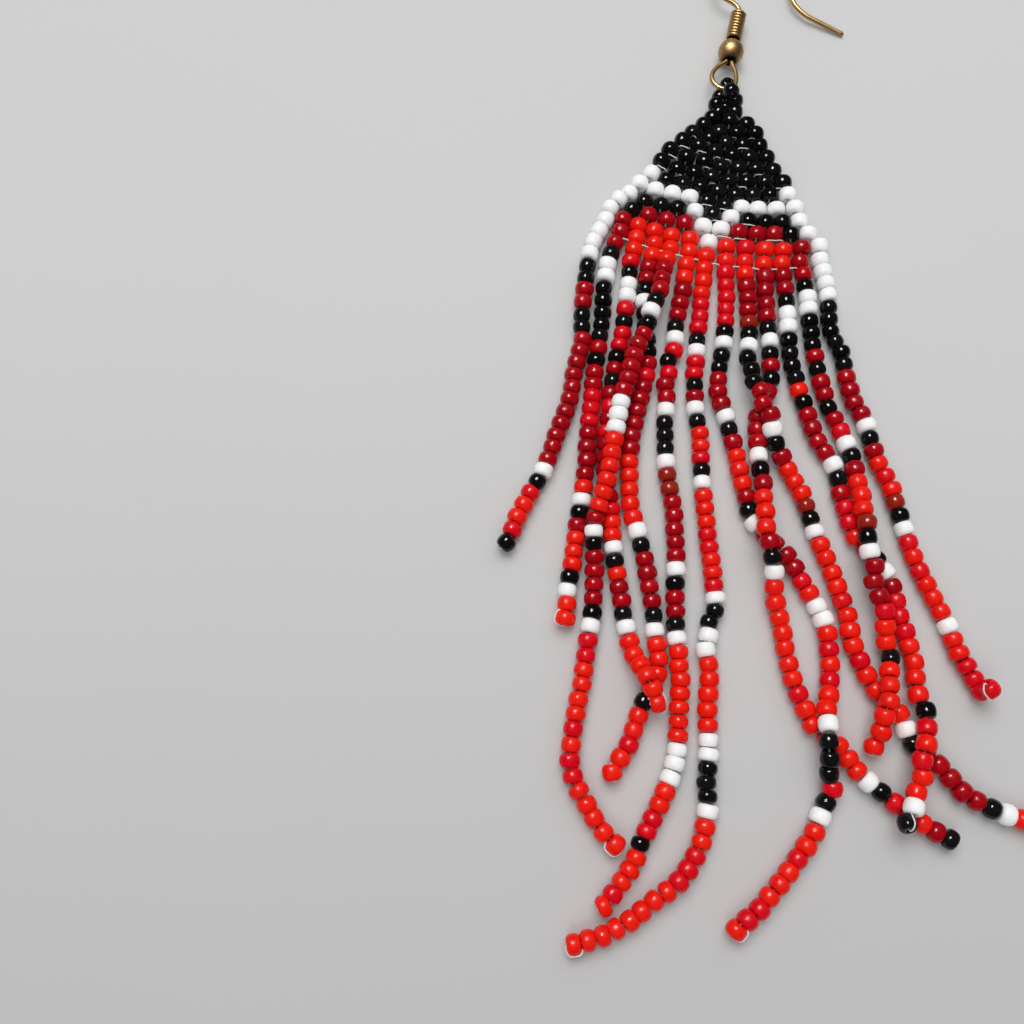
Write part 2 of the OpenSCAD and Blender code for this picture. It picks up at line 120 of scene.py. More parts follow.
# Rows of the triangle: key beads as (bead, x, y) in millimetres
PANEL_ROWS = [
    [(0, -1.5, 36.85), (1, 0.65, 36.95)],
    [(0, -2.4, 35.85), (1, -0.1, 35.4), (2, 2.1, 34.9)],
    [(0, -3.6, 34.8), (1, -1.6, 33.7), (2, 0.7, 33.5), (3, 3.1, 33.4)],
    [(0, -5.1, 33.6), (1, -2.9, 32.8), (2, -0.8, 32.0), (4, 3.6, 31.6)],
    [(0, -6.5, 32.4), (1, -4.4, 31.5), (2, -2.3, 30.7), (3, -0.1, 30.1), (5, 4.4, 29.8)],
    [(0, -8.2, 31.0), (1, -6.1, 29.8), (2, -3.8, 29.2), (3, -1.7, 28.4), (6, 5.1, 27.8)],
    [(0, -9.4, 29.3), (1, -7.4, 28.1), (2, -5.2, 27.5), (4, -0.8, 26.2), (7, 6.2, 26.0)],
    [(0, -10.8, 27.4), (1, -8.9, 26.4), (3, -4.5, 25.4), (5, -0.1, 24.2), (8, 6.7, 24.2)],
    [(0, -12.4, 25.9), (1, -10.4, 24.9), (3, -6.0, 23.8), (5, -1.5, 22.7), (7, 2.7, 22.0),
     (9, 7.5, 22.2)],
    [(0, -13.8, 24.4), (1, -11.8, 23.3), (4, -5.4, 21.8), (6, -0.9, 20.8), (8, 3.6, 20.2),
     (10, 7.9, 20.3)],
    [(0, -15.1, 23.6), (1, -13.5, 22.1), (2, -11.4, 21.2), (5, -4.5, 19.6), (8, 2.3, 18.5),
     (11, 8.9, 18.5)],
    [(0, -16.3, 22.3), (1, -14.7, 20.65), (2, -12.8, 19.7), (4, -8.6, 18.25), (6, -3.9, 17.2),
     (7, -1.65, 16.6), (9, 3.2, 16.2), (10, 5.55, 16.1), (11, 7.9, 16.4), (12, 10.2, 16.75)],
]

# The thirteen strands from left to right: key beads as (bead, x, y, lift) in millimetres
FRINGE = [
    [(0, -16.9, 20.6), (2, -18.6, 17.4), (4, -19.4, 13.9), (6, -19.9, 10.7), (8, -20.3, 7.1),
     (10, -20.3, 3.8), (12, -21.1, 0.7), (15, -22.0, -4.2), (18, -23.7, -8.9),
     (21, -25.2, -13.3), (24, -27.6, -17.5), (27, -29.6, -22.2)],
    [(0, -15.15, 18.9), (2, -16.4, 15.7), (4, -17.1, 12.6), (6, -17.6, 9.0), (8, -17.8, 5.8),
     (10, -18.3, 2.7), (12, -18.9, -0.7), (15, -19.4, -5.4), (18, -19.9, -10.3),
     (21, -20.5, -15.5), (24, -21.3, -20.0), (27, -22.0, -24.9), (29, -22.6, -27.8),
     (31, -22.8, -31.2)],
    [(0, -13.1, 17.9), (2, -13.9, 14.5), (4, -14.3, 11.6), (6, -14.8, 7.8), (8, -15.3, 4.5),
     (10, -16.0, 1.5), (12, -16.7, -1.8), (14, -17.1, -5.1), (16, -17.5, -8.4),
     (18, -17.8, -11.7), (20, -17.8, -15.0), (22, -17.3, -18.2), (25, -17.2, -22.8),
     (28, -16.6, -27.5), (31, -16.0, -32.2), (33, -15.3, -35.3, 0.2), (34, -14.6, -36.7, 1.1),
     (35, -14.1, -38.0, 2.0), (36, -13.5, -39.2, 2.2), (37, -12.9, -40.9, 1.7)],
    [(0, -10.8, 17.2), (2, -11.6, 13.8), (4, -12.2, 10.5), (5, -12.4, 9.0), (7, -12.4, 5.6),
     (9, -12.1, 2.0), (11, -12.6, -1.0), (14, -13.8, -5.8), (17, -14.8, -10.5),
     (20, -15.1, -15.7), (22, -14.7, -19.2), (24, -13.9, -22.5), (27, -13.1, -27.5),
     (30, -12.7, -32.5), (33, -12.6, -37.4), (35, -14.3, -40.6), (38, -16.1, -45.2),
     (40, -18.0, -48.2)],
    [(0, -8.8, 16.3, 0.1), (2, -9.9, 13.0, 1.0), (4, -10.6, 9.7, 1.8), (5, -11.3, 8.0, 2.1),
     (6, -11.9, 6.5, 2.18), (8, -12.9, 3.5, 2.18), (10, -14.2, 0.7, 2.18),
     (12, -15.1, -2.4, 2.18), (14, -16.0, -5.4, 2.18), (16, -16.6, -8.6, 2.18),
     (18, -17.2, -11.9, 2.18), (20, -17.9, -15.1, 2.18), (22, -18.9, -18.2, 1.6),
     (24, -19.5, -20.9, 0.9), (26, -19.4, -24.0, 0.3), (29, -19.6, -28.9), (31, -20.1, -32.0),
     (33, -20.6, -35.5), (36, -21.5, -40.2), (39, -22.5, -45.3), (41, -22.4, -48.7),
     (43, -20.9, -51.5), (45, -19.1, -54.5), (46, -17.8, -55.7)],
    [(0, -6.5, 16.0), (2, -7.2, 12.3), (4, -7.9, 8.7), (6, -8.6, 5.5), (8, -9.0, 2.3),
     (9, -9.8, 0.9), (10, -9.8, -0.8), (11, -10.3, -2.3), (12, -10.1, -3.9),
     (14, -10.5, -7.3), (17, -10.6, -12.2), (20, -10.1, -17.3),
     (22, -9.9, -20.6), (25, -10.0, -25.4), (28, -10.3, -30.4),
     (30, -10.2, -33.4), (33, -10.1, -38.1), (36, -10.5, -42.8), (39, -11.1, -47.2),
     (41, -12.3, -50.3), (44, -14.5, -54.4), (47, -16.4, -58.3), (50, -19.3, -61.9)],
    [(0, -4.3, 15.3), (3, -5.1, 10.1), (6, -5.8, 5.3), (8, -6.2, 2.1), (10, -6.6, -0.8),
     (13, -6.7, -5.4), (15, -6.4, -8.7), (18, -6.4, -13.3), (21, -6.2, -18.1),
     (24, -6.0, -22.8), (27, -5.7, -27.3), (29, -5.7, -30.3), (30, -6.5, -31.5),
     (31, -6.6, -33.1), (32, -7.1, -34.7), (33, -6.7, -36.4), (36, -7.2, -41.5),
     (39, -7.3, -46.4), (41, -7.7, -49.2), (42, -7.6, -50.7),
     (44, -8.1, -53.9), (46, -9.3, -57.0), (48, -11.2, -59.5), (50, -13.9, -61.4),
     (52, -16.6, -63.4), (54, -19.4, -64.9), (56, -22.5, -65.7)],
    [(0, -1.9, 14.7), (3, -2.1, 9.4), (6, -2.6, 4.8), (9, -3.4, 0.0), (11, -3.8, -3.2),
     (13, -3.1, -6.4), (16, -2.1, -11.5), (19, -1.3, -16.7), (21, -0.5, -19.7),
     (24, 3.0, -23.8), (26, 4.5, -26.8), (28, 6.0, -29.7), (30, 6.9, -32.9),
     (33, 6.8, -38.1), (35, 5.8, -41.5, 1.1), (36, 5.6, -43.2, 2.0), (37, 5.4, -45.0, 2.2),
     (38, 5.4, -46.8, 1.9), (39, 5.6, -48.4, 0.9), (40, 6.0, -50.0, 0.3), (41, 5.2, -51.4),
     (42, 4.4, -52.8), (43, 3.7, -54.5), (46, 0.6, -58.5), (49, -2.8, -62.2), (51, -5.4, -64.3)],
    [(0, 0.5, 14.5), (3, 0.6, 9.4), (6, 0.45, 4.4, 0.2), (8, -0.1, 0.9, 0.9), (9, 0.1, -0.9, 1.3),
     (10, 0.15, -2.6, 1.7), (11, 0.9, -4.0, 2.05), (12, 0.95, -5.5, 2.18), (13, 1.8, -6.9, 2.0),
     (14, 2.05, -8.6, 1.6), (15, 2.5, -10.4, 1.0), (16, 3.2, -11.8, 0.4),
     (17, 3.9, -13.2), (19, 5.3, -16.3),
     (22, 6.5, -20.8), (25, 8.1, -25.8), (28, 9.4, -30.8), (30, 9.8, -34.3),
     (32, 11.0, -37.7), (33, 11.7, -39.2), (35, 14.2, -42.0), (37, 15.3, -45.1),
     (39, 18.0, -47.5), (41, 20.1, -50.2), (43, 23.2, -52.1), (45, 26.3, -53.2),
     (47, 29.4, -54.5)],
    [(0, 3.0, 14.2), (2, 2.9, 10.5), (4, 2.9, 6.9), (6, 2.9, 3.6), (8, 2.8, 0.2),
     (9, 2.75, -1.5), (10, 2.35, -3.2), (12, 0.8, -6.7), (14, 0.5, -9.7, 0.3), (16, 0.5, -13.5, 0.8),
     (17, 0.65, -15.2, 1.1), (18, 0.35, -17.2, 1.5), (19, 0.45, -19.0, 1.9),
     (20, 0.35, -21.0, 2.15), (21, 0.6, -22.7, 2.18), (22, 0.9, -24.4, 1.9),
     (23, 1.1, -25.8, 1.3), (24, 1.1, -27.7, 0.7), (25, 1.3, -29.4, 0.2),
     (27, 1.8, -32.9), (30, 2.6, -38.0),
     (32, 3.7, -41.4), (33, 4.4, -43.1), (35, 7.2, -45.6), (37, 8.8, -48.0),
     (39, 11.3, -50.3), (40, 12.6, -51.4), (42, 15.5, -53.6), (44, 18.3, -55.2)],
    [(0, 5.2, 14.3), (2, 5.4, 10.8), (4, 5.4, 7.3), (6, 5.4, 3.6), (8, 5.5, 0.2),
     (10, 6.1, -3.0), (12, 6.9, -6.2), (14, 7.8, -9.7), (16, 9.4, -12.5), (18, 10.0, -16.2),
     (20, 10.7, -19.8), (21, 11.2, -21.5), (24, 14.3, -25.7), (27, 15.4, -31.0),
     (30, 16.4, -36.1), (32, 16.3, -39.7, 0.4), (33, 16.8, -41.6, 0.9), (34, 16.4, -43.6, 1.6),
     (35, 15.9, -45.4, 2.18), (36, 15.3, -47.1, 2.18), (37, 15.3, -48.7, 1.8),
     (38, 14.6, -50.3, 1.4), (39, 13.9, -51.8, 2.1), (40, 13.1, -53.5, 1.9)],
    [(0, 7.6, 14.5), (2, 8.0, 11.1), (4, 8.1, 7.9), (7, 8.2, 3.1), (10, 8.8, -1.9),
     (12, 9.5, -5.3), (14, 10.6, -8.3), (16, 11.6, -11.6, 0.2), (18, 11.9, -15.1, 0.8),
     (19, 12.0, -16.8, 1.2), (20, 12.0, -18.6, 1.5), (21, 12.0, -20.4, 1.9),
     (22, 11.9, -22.1, 2.18), (23, 11.9, -23.7, 2.18), (24, 12.4, -25.5, 2.0),
     (25, 12.3, -27.2, 1.6), (26, 12.8, -29.0, 1.6), (27, 13.2, -30.5, 1.5),
     (28, 13.3, -32.3, 1.0), (29, 13.3, -34.1, 0.6), (30, 13.65, -35.6, 0.5),
     (31, 13.1, -37.3, 1.2), (32, 12.8, -39.1, 1.9), (33, 12.4, -40.7, 2.18),
     (34, 11.8, -42.2, 2.0), (35, 11.6, -43.8, 1.2), (36, 10.9, -45.5, 0.3)],
    [(0, 10.1, 14.8), (3, 10.7, 9.9), (6, 10.7, 4.9), (8, 11.6, 2.1), (10, 12.0, -1.3),
     (12, 12.7, -4.7), (14, 13.9, -7.6), (16, 14.4, -10.9), (19, 16.0, -15.7),
     (22, 17.0, -20.5), (25, 18.3, -25.6), (28, 20.2, -30.4), (31, 21.7, -35.2),
     (33, 23.0, -37.9), (34, 23.6, -39.4), (35, 23.8, -39.3, 1.7)],
]

# Stitches that show between the rows of the triangle: row above, place along it in beads,
# distance below the middle of its beads and length in millimetres
SHOWING_STITCHES = [
    (2, 1.8, 0.85, 0.4), (2, 2.8, 0.85, 0.4), (3, 0.0, 0.8, 1.0), (3, 0.95, 0.85, 0.5),
    (3, 3.0, 0.9, 1.1), (4, 0.3, 1.2, 1.2), (4, 1.35, 0.95, 1.0), (4, 2.25, 0.95, 0.5),
    (4, 2.75, 0.95, 0.5), (5, 0.35, 1.0, 1.0), (5, 2.3, 0.95, 0.6), (5, 4.4, 0.95, 0.4),
    (5, 5.2, 0.95, 0.7), (6, 0.25, 1.15, 1.1), (6, 1.3, 0.95, 0.5), (6, 3.2, 0.95, 0.5),
    (6, 4.7, 1.0, 0.9), (6, 6.7, 1.1, 0.8), (8, 4.05, 0.85, 1.2), (8, 4.95, 0.95, 0.9),
    (9, 5.3, 1.0, 0.9), (9, 6.95, 0.95, 1.8), (9, 9.4, 1.1, 0.9), (10, 6.2, 1.35, 1.6),
    (10, 7.1, 1.25, 1.3), (10, 8.95, 1.15, 1.9),
]

# Beads of the hanging loop from its left end to its right end, then one that lies low beside
# it: middle in millimetres, hole direction and size
LOOP_BEADS = [
    ((-1.78, 37.95, 1.3), (0.13, 0.99, 0.0), 1.0),
    ((-1.17, 39.33, 1.08), (0.5, 0.85, 0.05), 1.0),
    ((-0.17, 40.87, 1.5), (0.25, 0.1, 0.95), 0.97),
    ((-0.18, 38.45, 3.35), (0.24, -0.95, 0.19), 1.03),
    ((0.58, 37.95, 2.1), (0.25, -0.55, -0.8), 1.0),
    ((-0.45, 37.6, 1.05), (0.97, -0.1, 0.2), 0.92),
]

# Ear wire from its tucked end inside the ball, round the loop and through the ball and coil
WIRE_RISE = [
    (0.1, 45.6), (-0.15, 44.5), (-1.25, 43.7), (-2.05, 42.6), (-2.3, 41.6), (-2.1, 40.7),
    (-1.5, 39.95), (-0.95, 39.65), (-0.3, 39.5), (0.4, 39.85), (0.8, 40.7), (0.95, 41.7),
    (0.9, 42.9), (0.6, 44.3), (0.8, 45.3), (0.75, 46.7), (0.98, 47.7), (1.5, 49.95),
    (2.0, 52.1), (2.14, 52.75), (2.0, 53.35), (1.5, 53.95), (0.75, 54.4), (0.0, 54.9),
    (-0.65, 55.7), (-1.0, 56.9), (-1.1, 58.6),
]

# Arch of the hook, a half circle, and the wire from there down to the tail
ARCH_AT = (4.3, 60.9)
ARCH_RADIUS = 5.4
WIRE_FALL = [
    (9.7, 59.2), (9.6, 57.4), (9.65, 55.9), (9.95, 54.75), (10.6, 53.75), (11.5, 52.85),
    (12.4, 52.3),
]

# Straight tail: its direction, its length and how much of that its rounded tip takes up
TAIL_TURN = math.radians(-28.2)
TAIL_LENGTH = 4.6
TAIL_TIP = 0.12

# Stem through the ball and the coil: its lean and its direction, then the ball's middle and
# where its lower mouth is
STEM_LEAN = math.radians(13.0)
STEM = Vector((math.sin(STEM_LEAN), math.cos(STEM_LEAN), 0.0))
BALL_AT = Vector((0.6, 46.05, 1.7))
MOUTH_Y = 44.4

# Rise of the wire's loop for each millimetre past the ball, and fall of the rest of the wire
# for each millimetre to the right of the stem
LOOP_RISE = 0.135
ARCH_FALL = 0.094

# Places along the stem, from the ball's middle, where dirt gathers on the wire and painted shade darkens
# it
WIRE_SHADED_HOLLOWS = (-1.6, 1.9, 6.6)

# Radii of the ball's bore round the two runs of the loop and round the stem
LOOP_BORE = 0.83
STEM_BORE = 0.47

# Start of the coil along the stem from the ball's middle, and its rise at each turn
COIL_START = 2.2
COIL_PITCH = 0.478

# Lights: name, place and size in metres, and the kind of ray that doesn't see them
LAMPS = [
    ("main", (-0.10, 0.45, 0.95), 0.90, "glossy"),
    ("spark", (-0.20, 0.30, 0.78), 0.33, "diffuse"),
    ("soft", (0.22, 0.30, 0.30), 0.40, "glossy"),
    ("front", (-0.25, -0.60, 0.80), 0.70, "glossy"),
]

# Camera: its place in metres, how far it leans from straight down, and how much it sees
CAMERA_AT = (-0.029, -0.051, 0.11455)
CAMERA_LEAN = math.radians(16)
VIEW_ANGLE = 2 * math.atan(0.512)

# Looseness of the beads: how far their holes lean, how far those of a strand sit off their
# place in x and y, and how far those of the triangle and the last of a strand stand up, in
# millimetres
STRAND_LEAN = 0.1
STRAND_SHIFT = (0.07, 0.04)
ROW_LEAN = 0.07
ROW_HEAVE = 0.12
TIP_LIFT = 0.03

# Sizes against the mean bead: full length in a strand and in a row, before the spread, longest
# bead where a strand is stretched, and widest bead where a row is; then the width of a row's
# bead that touches its neighbours, against its room
STRAND_FULL = 1.03
ROW_FULL = 1.06
LONGEST = 1.08
WIDEST = 1.07
TOUCHING = 0.995

# Flaws of a bead's shape: how oval it is, how its ends slant and how it swells to one end
OVAL = 0.018
SLANT = 0.07
SWELL = 0.035

# Faces round a bead, and how far apart the streaks of two beads are taken from the same noise
BEAD_SIDES = 24
GRAIN_STEP = 1.7

# Lean of the triangle to the right, which the holes of its beads half follow
TRIANGLE_LEAN = math.radians(10)

# Numbers that the random draws of the strands, the rows and the stitches start from
STRAND_DRAWS = 700
ROW_DRAWS = 90
STITCH_DRAWS = 31

# Beads of the hanging loop: how many its thread goes through, their size against the others,
# and how much brighter each is than the one before
STRUNG_IN_LOOP = 5
LOOP_WIDTH = 0.95
LOOP_LENGTH = 0.92
LOOP_TINT = 0.2

# Where thread leaves the hole of a bead of a strand and of a row, in lengths of the bead from
# its middle
STRAND_MOUTH = 0.42
ROW_MOUTH = 0.45

# Thread between the beads of a row: how low it leaves their holes, its lowest and its highest
# dip from there, and its thickness against the mean
MOUTH_DROP = 0.28
DIPS = (-0.75, -0.6)
ROW_THREAD = 0.4

# Stitches that show: their height, what each millimetre of their length adds to it, and how
# far their ends tuck in between the beads, along and down
STITCH_HEIGHT = 1.45
STITCH_RISE = 0.3
TUCK_ALONG = 0.3
TUCK_DOWN = 0.5

# Rounded end of a wire: distance from the tip against the length of the end, and radius and
# length of the end, both against the radius of the wire
ROUND_END = [(0.0, 0.25), (0.32, 0.72), (0.68, 0.95)]
END_LENGTH = 0.9


# Curves through key points

def slope_at(keys, i):
    """Slope of the curve at one of its keys, from its neighbours."""
    before, after = keys[max(i - 1, 0)], keys[min(i + 1, len(keys) - 1)]
    return (after[1] - before[1]) / (after[0] - before[0])


def spot_at(keys, knot):
    """Point of the smooth curve through keys of the form (knot, point)."""
    i = 0
    while i < len(keys) - 2 and keys[i + 1][0] <= knot:
        i += 1
    width = keys[i + 1][0] - keys[i][0]
    t = (knot - keys[i][0]) / width
    return (
        (2 * t**3 - 3 * t**2 + 1) * keys[i][1]
        + (t**3 - 2 * t**2 + t) * width * slope_at(keys, i)
        + (3 * t**2 - 2 * t**3) * keys[i + 1][1]
        + (t**3 - t**2) * width * slope_at(keys, i + 1)
    )


def sampled(points, step):
    """Smooth path through the points with a sample about every step."""
    points = [Vector(p) for p in points]
    keys, run = [(0.0, points[0])], 0.0
    for before, point in zip(points, points[1:]):
        run += (point - before).length
        keys.append((run, point))
    count = max(2, round(run / step))
    return [spot_at(keys, run * i / count) for i in range(count + 1)]


def stretch_at(keys, knot, half):
    """The way from a little before a place on a curve to a little after it."""
    return spot_at(keys, knot + half) - spot_at(keys, knot - half)


def heading(angle, rise=0.0):
    """Direction on the surface at an angle from the right, with a rise to each step."""
    return Vector((math.cos(angle), math.sin(angle), rise))


def jitter(dice, *spreads):
    """A random shift within the spreads of x, y and z; a spread left out draws nothing."""
    return Vector([dice.uniform(-spread, spread) for spread in spreads]).to_3d()


# Mesh making

def in_scene(name, data):
    """An object of the scene that shows the data."""
    made = bpy.data.objects.new(name, data)
    bpy.context.scene.collection.objects.link(made)
    return made


def piece_from(name, verts, faces, material, slot, layers=()):
    """A smooth mesh piece in metres from millimetre points; it rides on the earring.

    The layers are (name, values), with one number or three for each point."""
    mesh = bpy.data.meshes.new(name)
    mesh.from_pydata([tuple(c * MM for c in v) for v in verts], [], faces)
    mesh.polygons.foreach_set("use_smooth", [True] * len(mesh.polygons))
    for label, values in layers:
        values = np.array(values)
        kind, field = ("FLOAT", "value") if values.ndim == 1 else ("FLOAT_VECTOR", "vector")
        mesh.attributes.new(label, kind, "POINT").data.foreach_set(field, values.ravel())
    mesh.materials.append(material)
    mesh.validate()
    mesh.update()
    piece = in_scene(name, mesh)
    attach(piece, "root")
    return piece


def across(axis):
    """A direction square to an axis, level where the axis isn't steep."""
    steep = 0.9
    return axis.cross(UP if abs(axis.z) < steep else Vector((1, 0, 0)))


def ring_faces(first, around, rows):
    """Faces of a closed outline with so many rows of points, turned round its axis."""
    faces = []
    for i in range(around):
        here, there = first + i * rows, first + (i + 1) % around * rows
        for j in range(rows):
            above = (j + 1) % rows
            faces.append((here + j, here + above, there + above, there + j))
    return faces


def bead_outline(shoulder):
    """Closed outline of a bead's glass from outside to hole, as (radius, height) from 0 to 1."""
    s = bpy.context.scene.earring_beads
    hole = s.hole_width / s.bead_width
    power = 2 / shoulder
    outside = []
    for angle in (0, 13, 28, 44, 60, 78):
        a = math.radians(angle)
        outside.append((0.5 + 0.5 * math.cos(a) ** power, math.sin(a) ** power))
    lip = [(hole + 0.09, 0.985), (hole + 0.02, 0.92), (hole, 0.74), (hole, 0.0)]
    half = outside + lip
    return half + [(r, -h) for r, h in reversed(half[1:-1])]


def bead_mesh(beads, outline):
    """Points, faces and layers of the beads.

    The layer "grain" is the same along the hole, as the streaks of drawn glass are."""
    profile = np.array(outline)
    outs, heights, rows = profile[None, :, 0], profile[None, :, 1], len(profile)
    turn = np.arange(BEAD_SIDES) * 2 * math.pi / BEAD_SIDES
    verts, faces, tints, grains = [], [], [], []
    for n, bead in enumerate(beads):
        # The place of a bead decides what it draws, so that no two are alike
        place = int(1e4 * (bead.middle[0] + 91) + 1e3 * (bead.middle[1] + 97))
        dice = random.Random(place + n)
        axis = bead.axis.normalized()
        side = across(axis).normalized()
        rise = side.cross(axis)
        oval, oval_at = dice.uniform(0.0, OVAL), dice.uniform(0, math.pi)
        slant, slant_at = dice.uniform(-SLANT, SLANT), dice.uniform(0, 2 * math.pi)
        swell = dice.uniform(-SWELL, SWELL)
        radius = outs * (bead.width / 2)
        radius = radius * (1 + oval * np.cos(2 * (turn[:, None] - oval_at))) * (1 + swell * heights)
        height = heights * (bead.length / 2) * (1 + slant * outs * np.cos(turn[:, None] - slant_at))
        out = (
            np.cos(turn)[:, None, None] * np.array(side)
            + np.sin(turn)[:, None, None] * np.array(rise)
        )
        points = np.array(bead.middle) + radius[..., None] * out + height[..., None] * np.array(axis)
        faces.extend(ring_faces(len(verts), BEAD_SIDES, rows))
        verts.extend(points.reshape(-1, 3).tolist())
        tints.extend([bead.tint] * (BEAD_SIDES * rows))
        ring = np.stack([np.cos(turn), np.sin(turn), np.full(BEAD_SIDES, GRAIN_STEP * n)], axis=1)
        grains.extend(np.repeat(ring, rows, axis=0).tolist())
    return verts, faces, [("tint", tints), ("grain", grains)]


def sweep_mesh(path, radius, sides):
    """Points and faces of a round wire along a path; its ends are rounded off."""
    first, last = (path[1] - path[0]).normalized(), (path[-1] - path[-2]).normalized()
    radii = [radius * r for _, r in ROUND_END]
    radii = radii + [radius] * len(path) + radii[::-1]
    path = (
        [path[0] - radius * (1 - x) * END_LENGTH * first for x, _ in ROUND_END]
        + path
        + [path[-1] + radius * (1 - x) * END_LENGTH * last for x, _ in reversed(ROUND_END)]
    )
    count = len(path)
    verts, faces = [], []
    side = across((path[1] - path[0]).normalized())
    for i, point in enumerate(path):
        course = (path[min(i + 1, count - 1)] - path[max(i - 1, 0)]).normalized()
        side = (side - side.dot(course) * course).normalized()
        other = course.cross(side)
        for k in range(sides):
            a = 2 * math.pi * k / sides
            verts.append(point + radii[i] * (math.cos(a) * side + math.sin(a) * other))
    for i in range(count - 1):
        for k in range(sides):
            a, b = i * sides + k, i * sides + (k + 1) % sides
            faces.append((a, b, b + sides, a + sides))
    faces.append(tuple(reversed(range(sides))))
    faces.append(tuple((count - 1) * sides + k for k in range(sides)))
    return verts, faces


def string_up(name, beads, node):
    """Makes one piece for each glass among the beads, and hides the node they take the place of."""
    for letter, glass in GLASSES.items():
        chosen = [bead for bead in beads if bead.glass == letter]
        if not chosen:
            continue
        verts, faces, layers = bead_mesh(chosen, bead_outline(glass.shoulder))
        label = name + "_" + glass.name
        piece = piece_from(label, verts, faces, bead_glass(letter), glass.slot, layers)
        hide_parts(node)


def thread_along(points, step, thickness=1.0, sides=8):
    """Points and faces of thread through the points; its thickness is against the mean."""
    radius = bpy.context.scene.earring_beads.thread_width / 2 / MM
    return sweep_mesh(sampled(points, step), thickness * radius, sides)


def thread_piece(name, stretches):
    """Makes one piece of thread from its stretches."""
    verts, faces = [], []
    for points, polygons in stretches:
        faces.extend([tuple(len(verts) + i for i in polygon) for polygon in polygons])
        verts.extend(points)
    piece_from(name, verts, faces, beading_thread(), "thread")


def bronze_piece(name, verts, faces, finish, shaded_hollow_at):
    """A piece of bronze; the given function says how deep in a hollow a point lies, from 0 to 1: there
    tarnish and painted shade darken it.
    """
    shaded_hollows = [shaded_hollow_at(Vector(v)) for v in verts]
    return piece_from(name, verts, faces, finish, "bronze", [("hollow", shaded_hollows)])


# Materials

def set_inputs(node, values):
    for label, value in values.items():
        node.inputs[label].default_value = value


def new_group(name, inputs):
    """A shader group for a skin; returns it, the sockets it is given and those it puts out."""
    group = bpy.data.node_groups.new(name, "ShaderNodeTree")
    colour, number = "NodeSocketColor", "NodeSocketFloat"
    for label, value in inputs.items():
        kind = number if isinstance(value, float) else colour
        socket = group.interface.new_socket(name=label, in_out="INPUT", socket_type=kind)
        socket.default_value = value
    for label, kind in (("Color", colour), ("Roughness", number), ("Height", number)):
        group.interface.new_socket(name=label, in_out="OUTPUT", socket_type=kind)
    given, result = group.nodes.new("NodeGroupInput"), group.nodes.new("NodeGroupOutput")
    return group, given.outputs, result.inputs


def new_material(name):
    """A new material, its tree and its shader."""
    material = bpy.data.materials.new(name)
    material.use_nodes = True
    return material, material.node_tree, material.node_tree.nodes["Principled BSDF"]


def node_in(tree, kind, **values):
    node = tree.nodes.new(kind)
    for key, value in values.items():
        setattr(node, key, value)
    return node


def place_in(tree):
    """The place of a point in its object, in metres."""
    return tree.nodes.new("ShaderNodeTexCoord").outputs["Object"]


def layer_in(tree, name):
    """A layer that the mesh holds for each of its points."""
    return node_in(tree, "ShaderNodeAttribute", attribute_name=name).outputs


def noise_in(tree, place, scale, detail, roughness):
    """Clouds of noise from 0 to 1."""
    node = tree.nodes.new("ShaderNodeTexNoise")
    set_inputs(node, {"Scale": scale, "Detail": detail, "Roughness": roughness})
    tree.links.new(place, node.inputs["Vector"])
    return node.outputs["Fac"]


def range_in(tree, value, given, wanted, kind="LINEAR"):
    """Turns the given range of a value into the wanted range."""
    node = node_in(tree, "ShaderNodeMapRange", interpolation_type=kind)
    set_inputs(node, {
        "From Min": given[0], "From Max": given[1], "To Min": wanted[0], "To Max": wanted[1]})
    tree.links.new(value, node.inputs["Value"])
    return node.outputs["Result"]


def math_in(tree, operation, *values, clamp=False):
    """Works out one value from others, each a number or a socket."""
    node = node_in(tree, "ShaderNodeMath", operation=operation, use_clamp=clamp)
    for socket, value in zip(node.inputs, values):
        if isinstance(value, float):
            socket.default_value = value
        else:
            tree.links.new(value, socket)
    return node.outputs[0]


def mix_in(tree, factor, first, second):
    """Mixes two colours, each a socket or a plain colour."""
    node = node_in(tree, "ShaderNodeMix", data_type="RGBA")
    tree.links.new(factor, node.inputs["Factor"])
    for socket, value in ((node.inputs["A"], first), (node.inputs["B"], second)):
        if isinstance(value, tuple):
            socket.default_value = value
        else:
            tree.links.new(value, socket)
    return node.outputs["Result"]


def add_relief(tree, shader, height, strength, depth):
    """Raises the skin of a material by a height that is depth metres at most."""
    bump = tree.nodes.new("ShaderNodeBump")
    set_inputs(bump, {"Strength": strength, "Distance": depth})
    tree.links.new(height, bump.inputs["Height"])
    tree.links.new(bump.outputs["Normal"], shader.inputs["Normal"])


def skinned_material(name, group, values, strength, depth):
    """A material that takes colour, roughness and relief from a group; returns its shader too."""
    material, tree, shader = new_material(name)
    skin = node_in(tree, "ShaderNodeGroup", node_tree=group)
    set_inputs(skin, values)
    tree.links.new(skin.outputs["Color"], shader.inputs["Base Color"])
    tree.links.new(skin.outputs["Roughness"], shader.inputs["Roughness"])
    add_relief(tree, shader, skin.outputs["Height"], strength, depth)
    return material, shader


